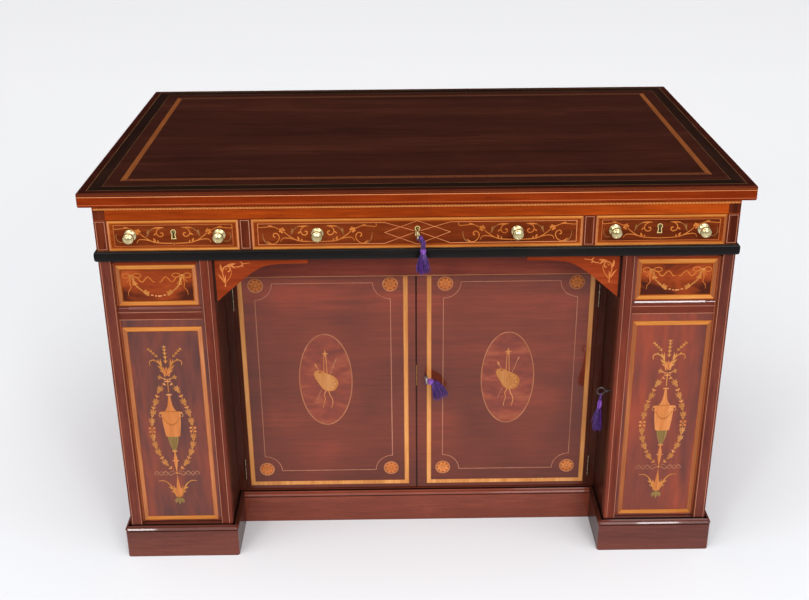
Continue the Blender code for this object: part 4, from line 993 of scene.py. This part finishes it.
for name in sorted(n for n in NODES if n.endswith("er_hinge")):
    lo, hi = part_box(name)
    side = -1 if hi.x < 0 else 1
    bm = bmesh.new()
    half = (hi.z - lo.z) / 2
    profile = [(0, -half)]
    for k in range(5):
        z0, z1 = -half + half * 0.4 * k, -half + half * 0.4 * (k + 1)
        profile += [(0.0010, z0 + 0.0001), (0.0012, z0 + 0.0004), (0.0012, z1 - 0.0004), (0.0010, z1 - 0.0001)]
    profile.append((0, half))
    lathe(bm, profile, Matrix.Translation((side * 0.3648, -0.2362, (lo.z + hi.z) / 2)), 20)
    xs = sorted((side * 0.3652, side * 0.3660))
    block(bm, (xs[0], -0.2347, lo.z + 0.001), (xs[1], -0.2338, hi.z - 0.001))
    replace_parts(piece(name + "_barrel", bm, "steel", "carcass", 40), name)


# ---------------------------------------------------------------- sides and back
for right, origin, half, centre in (((0, -1, 0), (-0.589, 0.0085, 0), 0.3437, 0), ((0, 1, 0), (0.589, 0.0085, 0), 0.3437, 0), ((-1, 0, 0), (0, 0.3685, 0), 0.589, 0)):
    pen = Pen("carcass", origin, right, (0, 0, 1))
    spans = [(-half + 0.022, half - 0.022)] if half < 0.4 else [(-half + 0.022, -0.2075), (-0.1855, 0.1855), (0.2075, half - 0.022)]
    for s0, s1 in spans:
        pen.banding("satin_x", "satin_z", s0, 0.1000, s1, 0.6280, 0.0070)
        pen.frame_line("box_dim", s0 + 0.026, 0.1260, s1 - 0.026, 0.6020, 0.0010)
        pen.banding("satin_x", "satin_z", s0, 0.6860, s1, 0.7500, 0.0050)
        pen.frame_line("box_dim", s0 + 0.012, 0.6980, s1 - 0.012, 0.7380, 0.0009)


# ---------------------------------------------------------------- plinth
def plinth_profile():
    """Board, a sunk quirk, a bead with a sloping upper face and the ledge behind it."""
    return [(-0.025, 0.0), (-0.0006, 0.0), (0.0, 0.0006), (0.0, 0.0602), (-0.0018, 0.0606), (-0.0018, 0.0622), (-0.0006, 0.0624), (0.0004, 0.0631),
            (0.0010, 0.0642), (0.0012, 0.0653), (-0.0006, 0.0679), (-0.0020, 0.0687), (-0.0044, 0.0690), (-0.0060, 0.0717), (-0.025, 0.0717)]


def arc(cx, cy, start, turn, radius=0.005, steps=5):
    return [(cx + radius * math.cos(math.radians(start + turn * k / steps)), cy + radius * math.sin(math.radians(start + turn * k / steps))) for k in range(steps + 1)]


OUT, RET, NEAR, MID, FAR, R = 0.5997, 0.3703, -0.3662, -0.2465, 0.3792, 0.005
right_front = [(RET, -0.3550)] + arc(RET + R, NEAR + R, 180, 90) + arc(OUT - R, NEAR + R, 270, 90) + [(OUT, -0.3412)]
left_front = [(-x, y) for x, y in right_front[::-1]]
# the left run takes a darker copy of the plinth wood as painted shade
RUNS = (("plinth_left_run", "plinth_left", "plinth_front", left_front), ("plinth_right_run", "plinth", "plinth_front", right_front),
        # the returns into the kneehole take the dark inner wood as painted shade
        ("plinth_left_return", "inner", "plinth_front", [(-RET, -0.3552), (-RET, MID + 0.0248)]), ("plinth_right_return", "inner", "plinth_front", [(RET, MID + 0.0248), (RET, -0.3552)]),
        ("plinth_middle_run", "plinth_mid", "plinth_front", [(-RET - 0.0003, MID), (RET + 0.0003, MID)]),
        ("plinth_back_run", "plinth", "plinth_back", [(OUT, -0.3409)] + arc(OUT - R, FAR - R, 0, 90) + arc(-OUT + R, FAR - R, 90, 90) + [(-OUT, -0.3409)]))
for name, kind, node, path in RUNS:
    bm = bmesh.new()
    mitred(bm, path, plinth_profile(), False)
    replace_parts(piece(name, bm, kind, "carcass", 20), node)
    # painted shade: dark sheets in the quirk and on the ledge behind the bead, where shadow falls
    bm = bmesh.new()
    mitred(bm, path, [(-0.0030, 0.0607), (-0.0012, 0.0607), (-0.0012, 0.0621), (-0.0030, 0.0621)], False)
    mitred(bm, path, [(-0.0120, 0.07165), (-0.0061, 0.07165), (-0.0061, 0.07180), (-0.0120, 0.07180)], False)
    piece(name + "_quirk", bm, "quirk", "carcass", 40)


# ---------------------------------------------------------------- tassels
def tube(bm, centres, radii, normals, sides):
    """Closed round body along a line."""
    loops = []
    for i, (c, r) in enumerate(zip(centres, radii)):
        t = (centres[min(i + 1, len(centres) - 1)] - centres[max(i - 1, 0)]).normalized()
        a = (normals - t * normals.dot(t)).normalized()
        b = t.cross(a)
        loops.append([c + (a * math.cos(2 * math.pi * k / sides) + b * math.sin(2 * math.pi * k / sides)) * r for k in range(sides)])
    rings(bm, loops)


def along(line, s):
    """Point and direction at length s down a polyline."""
    for a, b in zip(line, line[1:]):
        d = (b - a).length
        if s <= d:
            return a + (b - a) * (s / d), (b - a).normalized()
        s -= d
    return line[-1] + (line[-1] - line[-2]).normalized() * s, (line[-1] - line[-2]).normalized()


def tassel(name, body, node, pivot, wire, line, length, cord_end, head, neck, spread, seed):
    """Silk tassel on a loop of cord round the key's bow; wire is the way the bow's wire runs there."""
    rnd = random.Random(seed)
    pivot, wire = Vector(pivot), Vector(wire)
    line = [pivot + p for p in smooth([Vector(p) for p in line], 8)]

    def ring_at(s_):
        c, t = along(line, s_)
        a = (wire - t * wire.dot(t)).normalized()
        return c, a, t.cross(a)

    bm = bmesh.new()
    # twisted cord with a few slack turns
    if cord_end > 0.006:
        steps = max(14, int(cord_end / 0.0011))
        thick = 1.25 if cord_end > 0.02 else 1.0
        for strand in range(3):
            pts = []
            for j in range(steps + 1):
                s_ = 0.004 + (cord_end - 0.003) * j / steps
                c, a, b = ring_at(s_)
                g = 2 * math.pi * (s_ / 0.0105 + strand / 3)
                r = neck * (0.34 + 0.10 * math.sin(s_ * 900 + strand * 2.1)) * thick
                pts.append(c + (a * math.cos(g) + b * math.sin(g)) * r)
            tube(bm, pts, [neck * 0.42 * thick] * len(pts), Vector((0.36, 0.48, 0.8)), 8)
    cord_mesh = bm
    # head: a bundle of threads bound tight
    bm = bmesh.new()
    shape = [(0.0, 0.25), (0.06, 0.55), (0.18, 0.86), (0.36, 1.0), (0.58, 1.0), (0.80, 0.92), (0.92, 0.88), (1.0, 0.84)]
    tube(bm, [ring_at(cord_end + head * q)[0] for q, r in shape], [neck * r for q, r in shape], wire, 28)
    for k in range(20):
        pts = []
        for j in range(9):
            q = 0.06 + 0.94 * j / 8
            c, a, b = ring_at(cord_end + head * q)
            r = neck * (0.55 + 0.45 * math.sin(math.pi * min(1.0, 0.1 + q * 0.75))) - 0.00005
            g = 2 * math.pi * k / 20 + 0.35 * j / 8
            pts.append(c + (a * math.cos(g) + b * math.sin(g)) * r)
        tube(bm, pts, [0.0004] * 9, Vector((0.36, 0.48, 0.8)), 5)
    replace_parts(piece(name + "_head", bm, "silk_head", body, 60), node)
    # skirt of hanging strands
    bm = cord_mesh
    skirt = length - cord_end - head
    for share, count in ((1.0, 44), (0.8, 34), (0.56, 22), (0.28, 10)):
        for k in range(count):
            ang = 2 * math.pi * (k + rnd.uniform(-0.35, 0.35)) / count
            end = rnd.uniform(0.90, 1.0)
            wob, out = rnd.uniform(-0.3, 0.3), rnd.uniform(0.86, 1.08)
            if share == 1.0 and rnd.random() < 0.05:
                out, end = 1.32, end * 0.8
            pts = []
            for j in range(9):
                t_ = j / 8
                c, a, b = ring_at(cord_end + head * 0.94 + skirt * end * t_)
                r = share * (neck * 0.82 + (spread * out - neck * 0.82) * t_ ** 0.75)
                g = ang + wob * t_
                pts.append(c + (a * math.cos(g) + b * math.sin(g)) * r)
            tube(bm, pts, [0.00050, 0.00058, 0.00064, 0.00066, 0.00066, 0.00064, 0.0006, 0.0005, 0.0003], Vector((0.36, 0.48, 0.8)), 5)
    o = piece(name, bm, "silk", body, 60)
    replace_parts(o, node)
    # loop of cord: up one side of the wire, over it and down the other into the head
    c, t = along(line, 0.016)
    down = (along(line, 0.012)[0] - pivot).normalized()
    across = wire.cross(down).normalized()
    loop, r = [], 0.00262
    pts = [pivot + down * 0.0165 + across * 0.0009, pivot + down * 0.0110 + across * 0.0012, pivot + down * 0.0055 + across * 0.0021]
    arc = [pivot - down * (r * math.sin(math.radians(a))) + across * (r * math.cos(math.radians(a))) for a in range(0, 181, 15)]
    other = [pivot + down * 0.0055 - across * 0.0021, pivot + down * 0.0110 - across * 0.0012, pivot + down * 0.0165 - across * 0.0009]
    loop = pts + arc + other
    cu = bpy.data.curves.new(name + "_loop", "CURVE")
    cu.dimensions = "3D"
    cu.bevel_depth = 0.0006
    cu.bevel_resolution = 3
    cu.use_fill_caps = True
    sp = cu.splines.new("POLY")
    sp.points.add(len(loop) - 1)
    for q, p in zip(sp.points, loop):
        q.co = (p.x, p.y, p.z, 1.0)
    cord = bpy.data.objects.new(name + "_loop", cu)
    bpy.context.scene.collection.objects.link(cord)
    cu.materials.append(MAT["cord"])
    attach(cord, body)
    return o


tassel("drawer_tassel_silk", "drawer_tassel", "centre_drawer_tassel", (0, -0.377, 0.7003), (0, 1, 0),
       [(0, 0, 0), (0.0050, 0, 0.0012), (0.0084, 0, -0.0050), (0.0098, 0, -0.0150), (0.0098, 0, -0.0300), (0.0098, 0, -0.0500), (0.0104, 0, -0.0700)], 0.0755, 0.0270, 0.0105, 0.0050, 0.0130, 11)
tassel("door_tassel_silk", "door_tassel", "right_door_tassel", (0.0195, -0.255, 0.3373), (0, 1, 0),
       [(0, 0, 0), (0.0050, 0, 0.0040), (0.0124, 0, 0.0024), (0.0188, 0, -0.0030), (0.0240, 0, -0.0140), (0.0290, 0, -0.0290)], 0.0555, 0.0045, 0.0105, 0.0060, 0.0156, 12)
tassel("pedestal_tassel_silk", "pedestal_tassel", "pedestal_tassel", (0.3632, -0.3265, 0.3463), (1, 0, 0),
       [(0, 0, 0), (-0.0006, 0.0002, -0.012), (-0.0016, 0, -0.032), (-0.0030, 0.0, -0.056), (-0.0034, 0.0, -0.0818)], 0.0818, 0.0120, 0.0195, 0.0040, 0.0092, 13)

# gathered inlay, one piece for each body and wood
for (body, kind), bm in sorted(INLAY.items(), key=lambda item: item[0]):
    piece("inlay_%s_%s" % (body, kind), bm, kind, body)

# ---------------------------------------------------------------- CAD pieces that show as they are
KIND = {
    "frieze_frame": "frieze", "kneehole_frame": "header", "back_panel": "side", "dust_board": "oak", "well_board": "oak", "base_board": "oak", "strut_rack": "oak", "leaf_strut": "oak",
    "left_face_frame": "stile", "right_face_frame": "stile", "left_outer_side": "side", "right_outer_side": "side", "left_inner_side": "inner", "right_inner_side": "inner",
    "left_spandrel": "spandrel", "right_spandrel": "spandrel", "left_door": "door", "right_door": "door", "left_pedestal_door": "panel", "right_pedestal_door": "panel_right",
    "left_drawer_front": "drawer", "centre_drawer_front": "drawer", "right_drawer_front": "drawer", "left_drawer_box": "oak", "centre_drawer_box": "oak", "right_drawer_box": "oak",
    "left_drawer_guide": "oak", "right_drawer_guide": "oak",
    "left_pedestal_upper_pivot": "iron", "left_pedestal_lower_pivot": "iron", "right_pedestal_upper_pivot": "iron", "right_pedestal_lower_pivot": "iron",
    "centre_drawer_lock": "iron", "right_door_lock": "iron", "pedestal_lock": "iron", "centre_drawer_bolt": "iron", "right_door_bolt": "iron", "pedestal_lock_bolt": "iron",
    "centre_drawer_key": "brass", "right_door_key": "bright_iron", "pedestal_key": "iron_dark",
}
ROUND = {"centre_drawer_key", "right_door_key", "pedestal_key"}
SHARP = {"dust_board", "well_board", "base_board", "strut_rack", "leaf_strut", "left_face_frame", "right_face_frame"} | ROUND
for name, node in sorted(NODES.items()):
    if node.hide_render:
        paint(node, {"top_leaf": "top_edge", "ebonised_moulding": "moulding"}.get(name, "plinth" if "plinth" in name else "silk" if "tassel" in name else "brass"))
        continue
    kind = KIND[name]
    paint(node, kind)
    if name not in SHARP and MAT[kind].name[:4] in ("maho", "oak_"):
        weld = node.modifiers.new("weld", "WELD")
        weld.merge_threshold = 0.00002
        bevel = node.modifiers.new("softened_arris", "BEVEL")
        bevel.width = 0.0006
        bevel.segments = 2
        bevel.limit_method = "ANGLE"
        bevel.angle_limit = math.radians(40)
        bevel.use_clamp_overlap = True

# ---------------------------------------------------------------- floor, light and camera
me = bpy.data.meshes.new("floor")
me.from_pydata([(-30, -30, 0), (30, -30, 0), (30, 30, 0), (-30, 30, 0)], [], [(0, 1, 2, 3)])
floor = bpy.data.objects.new("floor", me)
bpy.context.scene.collection.objects.link(floor)
m, nt, sh = new_material("pale_floor")
tc = nt.nodes.new("ShaderNodeTexCoord")
sep = nt.nodes.new("ShaderNodeSeparateXYZ")
nt.links.new(tc.outputs["Object"], sep.inputs["Vector"])
# painted shade: the floor is graded darker towards the front and paler behind
depth = maths(nt, "ADD", maths(nt, "MULTIPLY", sep.outputs["Y"], 0.1), 0.3)
depth = maths(nt, "ADD", depth, maths(nt, "MULTIPLY", noise(nt, tc.outputs["Object"], 0.8, 3.0), 0.02))
nt.links.new(ramp(nt, depth, [(0.10, lin((158, 158, 159))), (0.17, lin((214, 215, 217))), (0.26, lin((228, 230, 233))), (0.36, lin((239, 240, 242))), (0.70, lin((250, 250, 251)))]), sh.inputs["Base Color"])
sh.inputs["Roughness"].default_value = 0.7
sh.inputs["Specular IOR Level"].default_value = 0.2
me.materials.append(m)

scene = bpy.context.scene
world = bpy.data.worlds.new("studio")
scene.world = world
world.use_nodes = True
nt = world.node_tree
nt.nodes.clear()
out = nt.nodes.new("ShaderNodeOutputWorld")
bg = nt.nodes.new("ShaderNodeBackground")
tc = nt.nodes.new("ShaderNodeTexCoord")
sep = nt.nodes.new("ShaderNodeSeparateXYZ")
nt.links.new(tc.outputs["Generated"], sep.inputs["Vector"])
# dim towards the back of the room, lighter in front of the desk
back = ramp(nt, maths(nt, "ADD", maths(nt, "MULTIPLY", sep.outputs["Y"], 0.5), 0.5), [(0.40, (0.62, 0.62, 0.64, 1)), (0.60, (0.03, 0.03, 0.03, 1))])
nt.links.new(back, bg.inputs["Color"])
bg.inputs["Strength"].default_value = 0.55
nt.links.new(bg.outputs["Background"], out.inputs["Surface"])


def softbox(name, place, target, width, height, power):
    la = bpy.data.lights.new(name, "AREA")
    la.shape = "RECTANGLE"
    la.size, la.size_y, la.energy = width, height, power
    o = bpy.data.objects.new(name, la)
    scene.collection.objects.link(o)
    o.location = place
    o.rotation_euler = (Vector(target) - Vector(place)).to_track_quat("-Z", "Y").to_euler()
    return o


softbox("front_box", (1.7, -4.2, 2.6), (0.1, -0.2, 0.45), 2.2, 2.0, 44)
softbox("front_right_box", (1.55, -4.1, 2.62), (0.2, -0.2, 0.5), 0.7, 0.6, 28)
softbox("front_left_box", (-2.2, -4.2, 2.6), (-0.1, -0.2, 0.45), 0.7, 0.7, 40)
softbox("left_box", (-3.6, -2.2, 2.4), (0, 0, 0.4), 2.4, 2.4, 22)
softbox("right_box", (3.8, -2.0, 2.4), (0, 0, 0.4), 2.4, 2.4, 20)
sky = bpy.data.lights.new("sky_panel", "SUN")
sky.energy = 2.42
sky.angle = math.radians(85)
sky_panel = bpy.data.objects.new("sky_panel", sky)
scene.collection.objects.link(sky_panel)
sky_panel.rotation_euler = Vector((0.05, 0.30, -1.0)).to_track_quat("-Z", "Y").to_euler()

yaw, pitch, roll = 0.0087, -0.4188, -0.0084
fwd = Vector((math.sin(yaw) * math.cos(pitch), math.cos(yaw) * math.cos(pitch), math.sin(pitch)))
right = Vector((math.cos(yaw), -math.sin(yaw), 0))
up = right.cross(fwd)
r2 = right * math.cos(roll) + up * math.sin(roll)
u2 = up * math.cos(roll) - right * math.sin(roll)
cd = bpy.data.cameras.new("camera")
cd.sensor_fit = "HORIZONTAL"
cd.sensor_width = 36.0
cd.lens = 50.4
cd.clip_start, cd.clip_end = 0.05, 100.0
cam = bpy.data.objects.new("camera", cd)
scene.collection.objects.link(cam)
m = Matrix.Identity(4)
for i, axis in enumerate((r2, u2, -fwd)):
    m[0][i], m[1][i], m[2][i] = axis.x, axis.y, axis.z
m.translation = Vector((-0.0417, -2.2982, 1.4339))
cam.matrix_world = m
scene.camera = cam
scene.view_settings.view_transform = "Standard"
